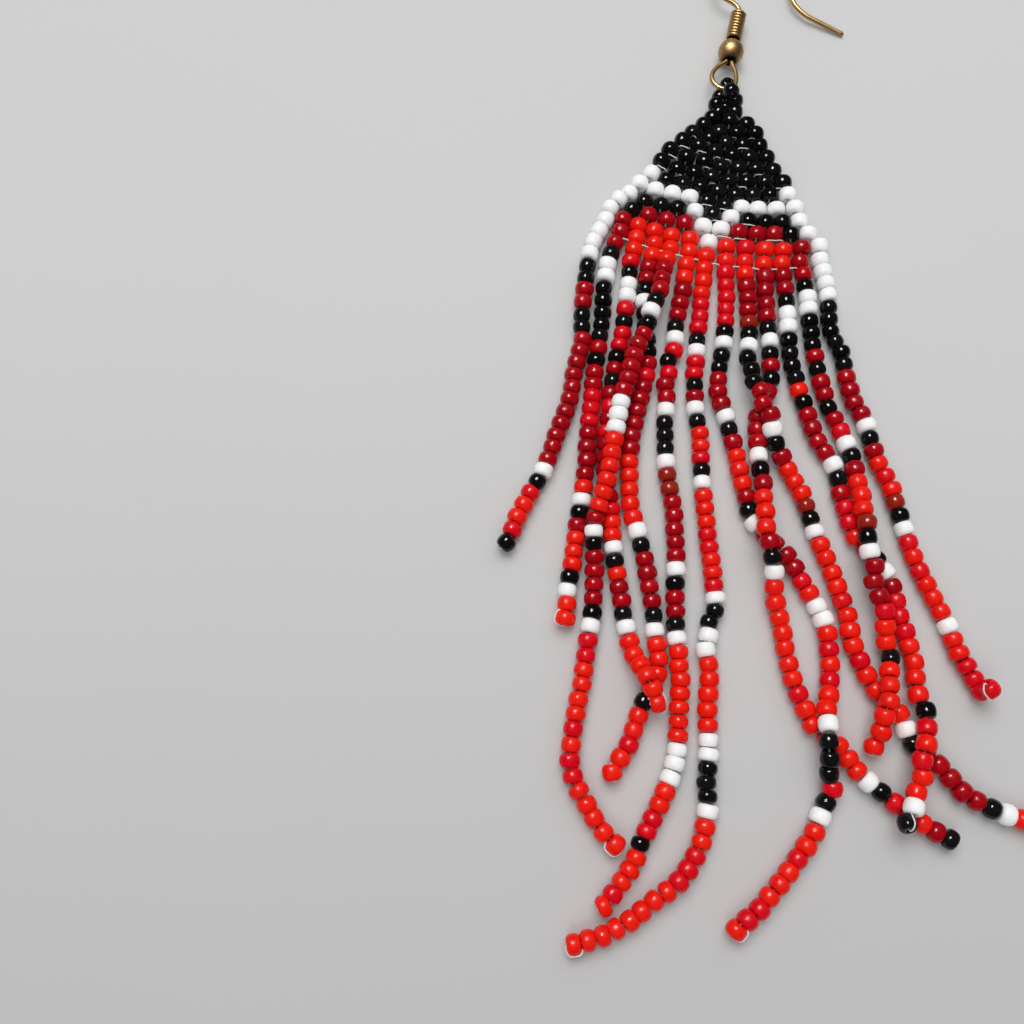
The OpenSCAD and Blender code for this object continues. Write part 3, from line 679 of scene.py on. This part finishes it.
def pressed_glass():
    """Group for the skin of a bead: its own tint, clouds, streaks along the hole, soft waves."""
    if "Pressed glass" in bpy.data.node_groups:
        return bpy.data.node_groups["Pressed glass"]
    group, given, result = new_group("Pressed glass", {
        "Deep": (0.1, 0.1, 0.1, 1), "Bright": (0.8, 0.8, 0.8, 1), "Rusty": (0.31, 0.016, 0.007, 1),
        "Cloud": 0.2, "Dull": 0.2,
    })
    place = place_in(group)
    tint = layer_in(group, "tint")["Fac"]
    clouds = noise_in(group, place, 900.0, 3.0, 0.55)
    streaks = noise_in(group, layer_in(group, "grain")["Vector"], 4.5, 2.0, 0.6)
    marks = [range_in(group, noise, (0.3, 0.7), (-0.7, 0.7)) for noise in (clouds, streaks)]
    blotches = math_in(group, "ADD", *marks)
    bright = math_in(group, "MULTIPLY_ADD", blotches, given["Cloud"], tint, clamp=True)
    colour = mix_in(group, bright, given["Deep"], given["Bright"])
    rust = range_in(group, tint, (-0.6, 0.0), (1.0, 0.0))
    group.links.new(mix_in(group, rust, colour, given["Rusty"]), result["Color"])
    handled = range_in(group, noise_in(group, place, 1500.0, 4.0, 0.6), (0.3, 0.75), (0.55, 1.6))
    group.links.new(math_in(group, "MULTIPLY", handled, given["Dull"]), result["Roughness"])
    waves = noise_in(group, place, 1300.0, 2.0, 0.4)
    pits = range_in(group, noise_in(group, place, 7000.0, 2.0, 0.5), (0.62, 0.75), (0.0, -1.0))
    pitted = math_in(group, "MULTIPLY_ADD", pits, 0.12, waves)
    group.links.new(math_in(group, "MULTIPLY_ADD", streaks, 0.7, pitted), result["Height"])
    return group


def glass_colours(letter):
    """The deepest and the brightest colour of a glass."""
    s = bpy.context.scene.earring_beads
    if letter == "K":
        return BLACK_DEEP, BLACK_BRIGHT
    if letter == "W":
        return tuple(0.96 * c for c in s.white), tuple(s.white)
    if letter == "D":
        red, green, blue = s.dark_red
        return (red, green, blue), (1.4 * red, green, blue)
    return tuple(s.crimson), tuple(s.red)


def bead_glass(letter):
    """The material of one of the four glasses."""
    glass = GLASSES[letter]
    name = "Glass bead " + glass.name.replace("_", " ")
    if name in bpy.data.materials:
        return bpy.data.materials[name]
    deep, bright = glass_colours(letter)
    values = {"Deep": (*deep, 1), "Bright": (*bright, 1), "Cloud": glass.cloud, "Dull": glass.dull}
    material, shader = skinned_material(name, pressed_glass(), values, 0.35, 0.06 * MM)
    set_inputs(shader, {"IOR": 1.52, "Specular IOR Level": glass.shine})
    if glass.under:
        set_inputs(shader, {
            "Subsurface Weight": glass.under, "Subsurface Radius": glass.reach,
            "Subsurface Scale": 0.6 * MM,
        })
    return material


def aged_metal():
    """Group for antique bronze: bright where rubbed; tarnish in patches, tarnish and painted shade in
    hollows.
    """
    if "Aged metal" in bpy.data.node_groups:
        return bpy.data.node_groups["Aged metal"]
    group, given, result = new_group("Aged metal", {
        "Rubbed": (0.7, 0.5, 0.25, 1), "Tarnish": (0.05, 0.03, 0.015, 1),
        "Patches": 0.35, "Polish": 0.3,
    })
    place = place_in(group)
    patches = range_in(group, noise_in(group, place, 700.0, 5.0, 0.65), (0.42, 0.68), (0.0, 1.0))
    specks = range_in(group, noise_in(group, place, 5200.0, 3.0, 0.6), (0.5, 0.72), (0.0, 0.35))
    # Tarnish and painted shade: the deeper a point lies in a hollow, the darker it is made
    hollow = layer_in(group, "hollow")["Fac"]
    patched = math_in(group, "MULTIPLY_ADD", patches, given["Patches"], hollow)
    dark = math_in(group, "ADD", patched, specks, clamp=True)
    group.links.new(mix_in(group, dark, given["Rubbed"], given["Tarnish"]), result["Color"])
    rough = math_in(group, "MULTIPLY_ADD", dark, 0.25, given["Polish"])
    group.links.new(rough, result["Roughness"])
    group.links.new(noise_in(group, place, 3800.0, 4.0, 0.7), result["Height"])
    return group


def bronze(name, patches, polish):
    """Antique bronze with its own amount of tarnish and polish."""
    s = bpy.context.scene.earring_wire
    values = {
        "Rubbed": (*s.bronze, 1), "Tarnish": (*s.tarnish_and_shade, 1), "Patches": patches, "Polish": polish}
    material, shader = skinned_material(name, aged_metal(), values, 0.3, 0.02 * MM)
    shader.inputs["Metallic"].default_value = 1.0
    return material


def beading_thread():
    """Pale waxed nylon thread with a fine twist."""
    if "Beading thread" in bpy.data.materials:
        return bpy.data.materials["Beading thread"]
    material, tree, shader = new_material("Beading thread")
    pale = tuple(bpy.context.scene.earring_beads.thread)
    fibre = noise_in(tree, place_in(tree), 9000.0, 3.0, 0.6)
    colour = mix_in(tree, fibre, (*(0.8 * c for c in pale), 1), (*pale, 1))
    tree.links.new(colour, shader.inputs["Base Color"])
    set_inputs(shader, {"Roughness": 0.55, "Sheen Weight": 0.3})
    add_relief(tree, shader, fibre, 0.5, 0.03 * MM)
    return material


def pale_surface(colour):
    """Matt surface, faintly clouded, darkened toward the near end of the earring by painted shade."""
    material, tree, shader = new_material("Pale surface")
    place = place_in(tree)
    clouds = noise_in(tree, place, 22.0, 3.0, 0.5)
    tone = mix_in(tree, clouds, (*(0.975 * c for c in colour), 1), (*colour, 1))
    away = tree.nodes.new("ShaderNodeSeparateXYZ")
    tree.links.new(place, away.inputs[0])
    # Painted shade: the surface is mixed toward black toward the near end, for light falling off there
    painted_falloff = range_in(tree, away.outputs["Y"], (0.02, -0.095), (0.03, 0.18), "SMOOTHSTEP")
    tone = mix_in(tree, painted_falloff, tone, (0.0, 0.0, 0.0, 1))
    tree.links.new(tone, shader.inputs["Base Color"])
    set_inputs(shader, {"Roughness": 0.85, "Specular IOR Level": 0.2})
    return material


# Where the beads lie

def beads_in(chart):
    """Letters of a chart one by one: "W2 K1" gives W, W, K."""
    return [word[0] for word in chart.split() for _ in range(int(word[1:]))]


def glass_and_tint(shade, dice):
    """The glass of a bead and how bright it is for a letter of the charts."""
    glass, low, high = SHADES[shade]
    return glass, dice.uniform(low, high)


def evened(keys, count, parts=4, rounds=3):
    """Knots of a strand's beads and the steps between them, evened out a little.

    The curve is measured in so many parts a bead, and its steps are smoothed in rounds."""
    knots = [i / parts for i in range(parts * (count - 1) + 1)]
    spots = [spot_at(keys, k) for k in knots]
    run = [0.0]
    for a, b in zip(spots, spots[1:]):
        run.append(run[-1] + (b - a).length)
    steps = [b - a for a, b in zip(run[::parts], run[parts::parts])]
    for _ in range(rounds):
        wide = [steps[0], *steps, steps[-1]]
        steps = [(a + 2 * b + c) / 4 for a, b, c in zip(wide, wide[1:], wide[2:])]
    scale = run[-1] / sum(steps)
    marks = [0.0]
    for step in steps:
        marks.append(marks[-1] + scale * step)
    return [float(k) for k in np.interp(marks, run, knots)], [scale * s for s in steps]


def strand_keys(index):
    """Keys of a strand in space; the fourth number of a key is its lift off the surface."""
    r = bpy.context.scene.earring_beads.bead_width / 2 / MM
    return [(bead, Vector((x, y, sum(lift, r)))) for bead, x, y, *lift in FRINGE[index]]


def row_keys(index):
    """Keys of a row of the triangle, on the surface."""
    return [(bead, Vector((x, y, 0.0))) for bead, x, y in PANEL_ROWS[index]]


def strand_beads(index):
    """The beads of one strand, from the triangle down."""
    s = bpy.context.scene.earring_beads
    width, pitch = s.bead_width / MM, s.bead_length / MM
    keys = strand_keys(index)
    shades = beads_in(STRAND_CHARTS[index])
    knots, steps = evened(keys, len(shades))
    dice = random.Random(STRAND_DRAWS + index)
    beads = []
    for i, (shade, knot) in enumerate(zip(shades, knots)):
        glass, tint = glass_and_tint(shade, dice)
        ahead = spot_at(keys, min(knot + 0.5, knots[-1]))
        behind = spot_at(keys, max(knot - 0.5, 0))
        room = min(steps[max(i - 1, 0)], steps[min(i, len(steps) - 1)])
        wide = width * GLASSES[glass].girth * (1 + dice.uniform(-1, 1) * s.size_spread)
        long = min(room, pitch * LONGEST) * (STRAND_FULL - dice.random() * s.length_spread)
        lean = jitter(dice, 1, 1, 0.5) * STRAND_LEAN
        axis = (ahead - behind).normalized() + lean
        middle = spot_at(keys, knot) + jitter(dice, *STRAND_SHIFT)
        middle.z = max(middle.z - width / 2, 0) + wide / 2
        if i == len(shades) - 1:
            hole, tilt, *_ = TIPS[index]
            axis = heading(math.radians(hole), tilt)
            middle.z += TIP_LIFT
        beads.append(Bead(glass, middle, axis, wide, long, tint))
    return beads


def row_beads(index):
    """The beads of one row of the triangle, from left to right."""
    s = bpy.context.scene.earring_beads
    width, pitch = s.bead_width / MM, s.bead_length / MM
    keys = row_keys(index)
    upward = Vector((math.sin(TRIANGLE_LEAN), math.cos(TRIANGLE_LEAN), 0))
    dice = random.Random(ROW_DRAWS + index)
    beads = []
    for i, shade in enumerate(beads_in(PANEL_CHARTS[index])):
        glass, tint = glass_and_tint(shade, dice)
        middle = spot_at(keys, i)
        square = UP.cross(stretch_at(keys, i, 0.3)).normalized()
        axis = (0.5 * square + 0.5 * upward).normalized()
        room = stretch_at(keys, i, 0.5).length
        wide = min(max(width * GLASSES[glass].girth, TOUCHING * room), WIDEST * width)
        wide *= 1 + dice.uniform(-0.5, 0.5) * s.size_spread
        long = pitch * (ROW_FULL - dice.random() * s.length_spread)
        axis = axis + jitter(dice, 1, 1, 0.6) * ROW_LEAN
        middle.z = wide / 2 + dice.uniform(0.0, ROW_HEAVE)
        beads.append(Bead(glass, middle, axis, wide, long, tint))
    return beads


# Where the thread runs

def round_stop_bead(leave, bead, course, tip):
    """Route of the thread through the last bead of a strand and back round its outside."""
    axis = bead.axis.normalized()
    if axis.dot(course) > 0:
        axis = -axis
    turn, rise = math.radians(tip[2]), math.radians(tip[3])
    side = heading(turn)
    side = (side - side.dot(axis) * axis).normalized() * math.cos(rise) + UP * math.sin(rise)
    side = (side - side.dot(axis) * axis).normalized()
    radius = bpy.context.scene.earring_beads.thread_width / 2 / MM
    middle, half, clear = bead.middle, bead.length / 2, bead.width / 2 + 0.75 * radius
    end, shoulder = half + radius, 0.72 * half
    outside = [(-end, 0.45), (-shoulder, 0.93), (0.0, 1.0), (shoulder, 0.93), (end, 0.5)]
    return [
        leave, middle + half * axis, middle, middle - half * axis,
        *(middle + along * axis + out * clear * side for along, out in outside), leave,
    ]


def strand_threads():
    """The thread inside the strands, and its loops round their stop beads."""
    top = row_beads(len(PANEL_ROWS) - 1)
    cores, loops = [], []
    for index, tip in enumerate(TIPS):
        beads = strand_beads(index)
        before, last = beads[-2:]
        course = (last.middle - before.middle).normalized()
        leave = before.middle + STRAND_MOUTH * before.length * course
        route = [top[index].middle, *(bead.middle for bead in beads[:-1]), leave]
        cores.append(thread_along(route, step=0.8, sides=6))
        loops.append(thread_along(round_stop_bead(leave, last, course, tip), step=0.16))
    return cores, loops


def bridges(dice):
    """Thread that dips between neighbouring beads under each row of the triangle but the last."""
    stretches = []
    for index in range(len(PANEL_ROWS) - 1):
        beads = row_beads(index)
        for pair in zip(beads, beads[1:]):
            start, stop = [
                bead.middle - ROW_MOUTH * bead.length * bead.axis.normalized() - MOUTH_DROP * UP
                for bead in pair
            ]
            dip = (start + stop) / 2 + dice.uniform(*DIPS) * UP
            route = [pair[0].middle, start, dip, stop, pair[1].middle]
            stretches.append(thread_along(route, 0.25, ROW_THREAD, sides=6))
    return stretches


def showing_stitches(dice):
    """The stitches that show between the rows; longer ones are thicker and lie higher."""
    stretches = []
    for index, place, below, length in SHOWING_STITCHES:
        keys = row_keys(index)
        course = stretch_at(keys, place, 0.3).normalized()
        square = UP.cross(course)
        middle = spot_at(keys, place) - below * square
        middle.z = STITCH_HEIGHT + STITCH_RISE * min(length, 1.1)
        start, stop = middle - length / 2 * course, middle + length / 2 * course
        before = start - TUCK_ALONG * course - TUCK_DOWN * UP
        after = stop + TUCK_ALONG * course - TUCK_DOWN * UP
        bow = 0.06 * length * UP + dice.uniform(-0.05, 0.05) * length * square
        thickness = 0.35 + 0.45 * min(length, 1.0)
        route = [before, start, middle + bow, stop, after]
        stretches.append(thread_along(route, 0.16, thickness))
    return stretches


def fringe_stitches():
    """The thread that bridges the strands between their first and second beads."""
    points = []
    for index in range(1, len(FRINGE) - 1):
        first, second = strand_beads(index)[:2]
        hole = (first.middle + second.middle) / 2
        if points:
            points.append((points[-1] + hole) / 2 + 0.3 * UP)
        points.append(hole)
    return [thread_along(points, step=0.2)]


# Where the wire runs

def off_stem(point, start):
    """How far a point is along the stem from its start, and how far off the stem."""
    off = point - start
    along = off.dot(STEM)
    return along, (off - along * STEM).length


def round_stem(turns):
    """Direction from the stem to its outside after so many turns."""
    a = 2 * math.pi * turns
    return math.cos(a) * STEM.cross(UP).normalized() + math.sin(a) * UP


def wire_route():
    """Middle of the ear wire, from its tucked end through the loop, stem and arch to the tail."""
    arch = [
        (ARCH_AT[0] + ARCH_RADIUS * math.cos(math.radians(a)),
         ARCH_AT[1] + ARCH_RADIUS * math.sin(math.radians(a)))
        for a in range(180, -1, -18)
    ]
    start = WIRE_FALL[-1]
    tail = [
        (start[0] + d * math.cos(TAIL_TURN), start[1] + d * math.sin(TAIL_TURN))
        for d in (*(TAIL_LENGTH * i / 4 for i in (1, 2, 3)), TAIL_LENGTH - TAIL_TIP)
    ]
    right = Vector((math.cos(STEM_LEAN), -math.sin(STEM_LEAN), 0))
    route = []
    for x, y in WIRE_RISE + arch + WIRE_FALL + tail:
        off = Vector((x, y, 0)) - Vector((BALL_AT.x, BALL_AT.y, 0))
        rise = LOOP_RISE * (MOUTH_Y - y) if y < MOUTH_Y else -ARCH_FALL * off.dot(right)
        route.append(Vector((x, y, BALL_AT.z + rise)))
    return route


# Settings

def length_setting(name, description, default, low, high):
    """A length that is given in millimetres."""
    return bpy.props.FloatProperty(
        name=name, description=description, default=default * MM, min=low * MM, max=high * MM,
        unit="LENGTH", precision=5)


def spread_setting(name, description, default, high):
    return bpy.props.FloatProperty(
        name=name, description=description, default=default, min=0.0, max=high, subtype="FACTOR")


def colour_setting(name, description, default):
    return bpy.props.FloatVectorProperty(
        name=name, description=description, default=default, min=0.0, max=1.0, subtype="COLOR")


def power_setting(name, description, default, high):
    """The power of a light in watts."""
    return bpy.props.FloatProperty(
        name=name, description=description, default=default, min=0.0, max=high, unit="POWER")


class EarringBeads(bpy.types.PropertyGroup):
    bead_width: length_setting(
        "Bead width", "Outer diameter of a size 11 seed bead", 2.22, 1.8, 2.3)
    bead_length: length_setting(
        "Bead length", "Length of a seed bead along its hole", 1.67, 1.4, 1.8)
    hole_width: length_setting(
        "Hole width", "Diameter of the hole through a seed bead", 0.64, 0.5, 1.0)
    size_spread: spread_setting(
        "Width spread", "How much bead widths differ from each other", 0.04, 0.06)
    length_spread: spread_setting(
        "Length spread", "How much bead lengths differ from each other", 0.09, 0.15)
    thread_width: length_setting(
        "Thread width", "Diameter of the beading thread", 0.17, 0.1, 0.25)
    white: colour_setting("White glass", "Colour of the white beads", (0.95, 0.95, 0.95))
    red: colour_setting("Bright red glass", "Colour of the bright red beads", (0.88, 0.013, 0.003))
    crimson: colour_setting("Crimson glass", "Colour of the crimson beads", (0.69, 0.001, 0.011))
    dark_red: colour_setting(
        "Dark red glass", "Colour of the dark red beads", (0.34, 0.001, 0.0066))
    thread: colour_setting("Thread", "Colour of the beading thread", (0.85, 0.84, 0.80))


class EarringWire(bpy.types.PropertyGroup):
    wire_width: length_setting("Wire width", "Diameter of the ear wire", 0.63, 0.5, 0.7)
    ball_width: length_setting("Ball width", "Diameter of the bronze ball", 3.4, 3.2, 3.5)
    coil_width: length_setting(
        "Coil width", "Outer diameter of the coil on the stem", 2.1, 1.9, 2.2)
    coil_wire: length_setting("Coil wire", "Diameter of the wire of the coil", 0.46, 0.36, 0.47)
    coil_turns: bpy.props.IntProperty(
        name="Coil turns", description="Number of turns of the coil", default=9, min=7, max=10)
    bronze: colour_setting(
        "Bronze", "Colour of the bronze where it is rubbed bright", (0.6, 0.385, 0.165))
    # The tarnish colour also paints the shade in the hollows
    tarnish_and_shade: colour_setting(
        "Tarnish", "Colour of the darkened bronze in the hollows", (0.05, 0.033, 0.016))


class EarringStage(bpy.types.PropertyGroup):
    floor_colour: colour_setting(
        "Surface", "Colour of the surface the earring lies on", (0.63, 0.63, 0.63))
    main_power: power_setting(
        "Main light", "Power in watts of the large light high up on the left", 7.2, 40.0)
    spark_power: power_setting(
        "Spark light", "Power in watts of the light that only shows as highlights", 9.5, 60.0)
    soft_power: power_setting(
        "Soft light", "Power in watts of the broad light from the upper right", 0.3, 20.0)
    front_power: power_setting(
        "Front light", "Power in watts of the light on the near side of the beads", 2.2, 20.0)
    room_light: bpy.props.FloatProperty(
        name="Room light", description="Brightness of the light from all round",
        default=0.3, min=0.0, max=2.0)


# Operators

class EARRING_OT_strands(bpy.types.Operator):
    """String the thirteen strands of the fringe bead by bead"""
    bl_idname = "earring.strands"
    bl_label = "Strands"

    def execute(self, context):
        for index in range(len(FRINGE)):
            number = "%02d" % (index + 1)
            string_up("strand_" + number, strand_beads(index), "fringe_" + number)
        return {"FINISHED"}


class EARRING_OT_triangle(bpy.types.Operator):
    """Stitch the triangle of beads row by row"""
    bl_idname = "earring.triangle"
    bl_label = "Triangle"

    def execute(self, context):
        beads = [bead for index in range(len(PANEL_ROWS)) for bead in row_beads(index)]
        string_up("triangle", beads, "bead_panel")
        return {"FINISHED"}


class EARRING_OT_hanging_loop(bpy.types.Operator):
    """String the little loop of black beads through the wire loop"""
    bl_idname = "earring.hanging_loop"
    bl_label = "Hanging loop"

    def execute(self, context):
        s = context.scene.earring_beads
        beads = [
            Bead("K", Vector(middle), Vector(axis), LOOP_WIDTH * size * s.bead_width / MM,
                 LOOP_LENGTH * size * s.bead_length / MM, LOOP_TINT * i)
            for i, (middle, axis, size) in enumerate(LOOP_BEADS)
        ]
        string_up("hanging_loop_beads", beads, "hanging_loop")
        first, last = [bead.middle for bead in row_beads(0)]
        route = [first, *(bead.middle for bead in beads[:STRUNG_IN_LOOP]), last]
        thread_piece("hanging_loop_thread", [thread_along(route, step=0.3)])
        return {"FINISHED"}


class EARRING_OT_threads(bpy.types.Operator):
    """Run the pale thread through the strands, round the stop beads and along the stitched rows"""
    bl_idname = "earring.threads"
    bl_label = "Threads"

    def execute(self, context):
        cores, loops = strand_threads()
        dice = random.Random(STITCH_DRAWS)
        thread_piece("strand_threads", cores)
        thread_piece("tip_threads", loops)
        thread_piece("row_threads", bridges(dice) + showing_stitches(dice))
        thread_piece("fringe_stitches", fringe_stitches())
        return {"FINISHED"}


class EARRING_OT_ear_wire(bpy.types.Operator):
    """Bend the ear wire from its loop through the ball and the coil to the tail"""
    bl_idname = "earring.ear_wire"
    bl_label = "Ear wire"

    def execute(self, context):
        # Dirt and painted shade darken the wire near these places on the stem
        shaded_hollows = [BALL_AT + along * STEM for along in WIRE_SHADED_HOLLOWS]

        def shaded_hollow_at(point):
            return max(0.0, 0.8 - min((point - hollow).length for hollow in shaded_hollows))

        radius = context.scene.earring_wire.wire_width / 2 / MM
        verts, faces = sweep_mesh(sampled(wire_route(), step=0.22), radius, sides=20)
        finish = bronze("Bronze wire", 0.25, 0.41)
        piece = bronze_piece("bent_ear_wire", verts, faces, finish, shaded_hollow_at)
        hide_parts("ear_wire")
        return {"FINISHED"}


class EARRING_OT_ball(bpy.types.Operator):
    """Turn the bronze ball with its bore"""
    bl_idname = "earring.ball"
    bl_label = "Ball"

    def execute(self, context):
        radius = context.scene.earring_wire.ball_width / 2 / MM
        wide, narrow = LOOP_BORE, STEM_BORE
        low, high = math.asin(wide / radius), math.asin(narrow / radius)
        bottom, top = -radius * math.cos(low), radius * math.cos(high)
        inset, steps = 0.08, 40
        outline = [(wide, -0.55), (wide, bottom + inset)]
        for i in range(steps + 1):
            a = low + (math.pi - low - high) * i / steps
            outline.append((radius * math.sin(a), -radius * math.cos(a)))
        outline += [(narrow, top - inset), (narrow, 0.6), (wide, 0.6)]
        around = 64
        verts = [
            BALL_AT + r * round_stem(k / around) + h * STEM
            for k in range(around) for r, h in outline
        ]

        # Tarnish and painted shade: the bore is made dark, and the ball round the mouths of the bore
        # darker
        def shaded_hollow_at(point):
            height, out = off_stem(point, BALL_AT)
            if out < 0.55 * radius and math.hypot(out, height) < radius - 0.05:
                return 1.0
            return max(0.0, 0.7 - 1.6 * min(abs(height - bottom), abs(height - top) + 0.05))

        faces = ring_faces(0, around, len(outline))
        finish = bronze("Bronze ball", 0.4, 0.45)
        piece = bronze_piece("bronze_ball", verts, faces, finish, shaded_hollow_at)
        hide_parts("ball_bead")
        return {"FINISHED"}


class EARRING_OT_coil(bpy.types.Operator):
    """Wind the coil of fine bronze wire round the stem"""
    bl_idname = "earring.coil"
    bl_label = "Coil"

    def execute(self, context):
        s = context.scene.earring_wire
        thick = s.coil_wire / 2 / MM
        turn = s.coil_width / 2 / MM - thick
        start = BALL_AT + COIL_START * STEM
        steps = 32
        path = [
            start + turn * round_stem(i / steps) + COIL_PITCH * i / steps * STEM
            for i in range(s.coil_turns * steps + 1)
        ]

        # Tarnish and painted shade: the inner side of the turns, toward the stem, is made darker
        def shaded_hollow_at(point):
            _, out = off_stem(point, start)
            return min(1.0, max(0.0, (turn + 0.62 * thick - out) / (0.75 * thick)))

        verts, faces = sweep_mesh(path, thick, sides=14)
        finish = bronze("Bronze coil", 0.25, 0.43)
        piece = bronze_piece("wound_coil", verts, faces, finish, shaded_hollow_at)
        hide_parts("wire_coil")
        return {"FINISHED"}


class EARRING_OT_stage(bpy.types.Operator):
    """Lay the pale surface and set the lights and the camera"""
    bl_idname = "earring.stage"
    bl_label = "Surface, lights and camera"

    def execute(self, context):
        s = context.scene.earring_stage
        self.surface(tuple(s.floor_colour))
        for name, place, size, ray in LAMPS:
            lamp = self.area_light(name + "_light", place, size, getattr(s, name + "_power"))
            setattr(lamp, "visible_" + ray, False)
        self.room(context.scene, s.room_light)
        self.camera(context.scene)
        context.scene.view_settings.view_transform = "Standard"
        return {"FINISHED"}

    def surface(self, colour):
        """The surface, a square in cells."""
        mesh = bpy.data.meshes.new("surface")
        half, cells = 1.5, 6
        ticks = [half * (2 * i / cells - 1) for i in range(cells + 1)]
        verts = [(x, y, 0.0) for y in ticks for x in ticks]
        row = cells + 1
        corners = [j * row + i for j in range(cells) for i in range(cells)]
        mesh.from_pydata(verts, [], [(a, a + 1, a + row + 1, a + row) for a in corners])
        mesh.materials.append(pale_surface(colour))
        floor = in_scene("surface", mesh)

    def area_light(self, name, place, size, power):
        """A round soft light of the given size in metres that shines on the earring."""
        data = bpy.data.lights.new(name, "AREA")
        data.shape = "DISK"
        data.size = size
        data.energy = power
        lamp = in_scene(name, data)
        lamp.location = place
        lamp.rotation_euler = Vector(place).to_track_quat("Z", "Y").to_euler()
        return lamp

    def room(self, scene, brightness):
        """Even white light from all round that leaves no highlights."""
        world = bpy.data.worlds.new("Room")
        scene.world = world
        world.use_nodes = True
        background = world.node_tree.nodes["Background"]
        set_inputs(background, {"Color": (1.0, 1.0, 1.0, 1), "Strength": brightness})
        world.cycles_visibility.glossy = False

    def camera(self, scene):
        """The camera above the surface, leaning toward the hook."""
        data = bpy.data.cameras.new("camera")
        data.angle = VIEW_ANGLE
        data.clip_start = 0.005
        data.clip_end = 10
        scene.camera = in_scene("camera", data)
        scene.camera.location = CAMERA_AT
        scene.camera.rotation_euler = (CAMERA_LEAN, 0, 0)


class EARRING_PT_panel(bpy.types.Panel):
    """Settings and steps of the earring"""
    bl_idname = "EARRING_PT_panel"
    bl_label = "Fringe earring"
    bl_space_type = "VIEW_3D"
    bl_region_type = "UI"
    bl_category = "Earring"

    def draw(self, context):
        for group in ("earring_beads", "earring_wire", "earring_stage"):
            box = self.layout.box()
            settings = getattr(context.scene, group)
            for name in settings.__annotations__:
                box.prop(settings, name)
        for operator in STEPS:
            self.layout.operator(operator.bl_idname)


STEPS = (
    EARRING_OT_stage,
    EARRING_OT_strands,
    EARRING_OT_triangle,
    EARRING_OT_hanging_loop,
    EARRING_OT_threads,
    EARRING_OT_ear_wire,
    EARRING_OT_ball,
    EARRING_OT_coil,
)
CLASSES = (EarringBeads, EarringWire, EarringStage, *STEPS, EARRING_PT_panel)


def register():
    for cls in CLASSES:
        bpy.utils.register_class(cls)
    bpy.types.Scene.earring_beads = bpy.props.PointerProperty(type=EarringBeads)
    bpy.types.Scene.earring_wire = bpy.props.PointerProperty(type=EarringWire)
    bpy.types.Scene.earring_stage = bpy.props.PointerProperty(type=EarringStage)


def unregister():
    del bpy.types.Scene.earring_stage
    del bpy.types.Scene.earring_wire
    del bpy.types.Scene.earring_beads
    for cls in reversed(CLASSES):
        bpy.utils.unregister_class(cls)


def main():
    register()
    bpy.ops.earring.stage()
    bpy.ops.earring.strands()
    bpy.ops.earring.triangle()
    bpy.ops.earring.hanging_loop()
    bpy.ops.earring.threads()
    bpy.ops.earring.ear_wire()
    bpy.ops.earring.ball()
    bpy.ops.earring.coil()


if __name__ == "__main__":
    main()
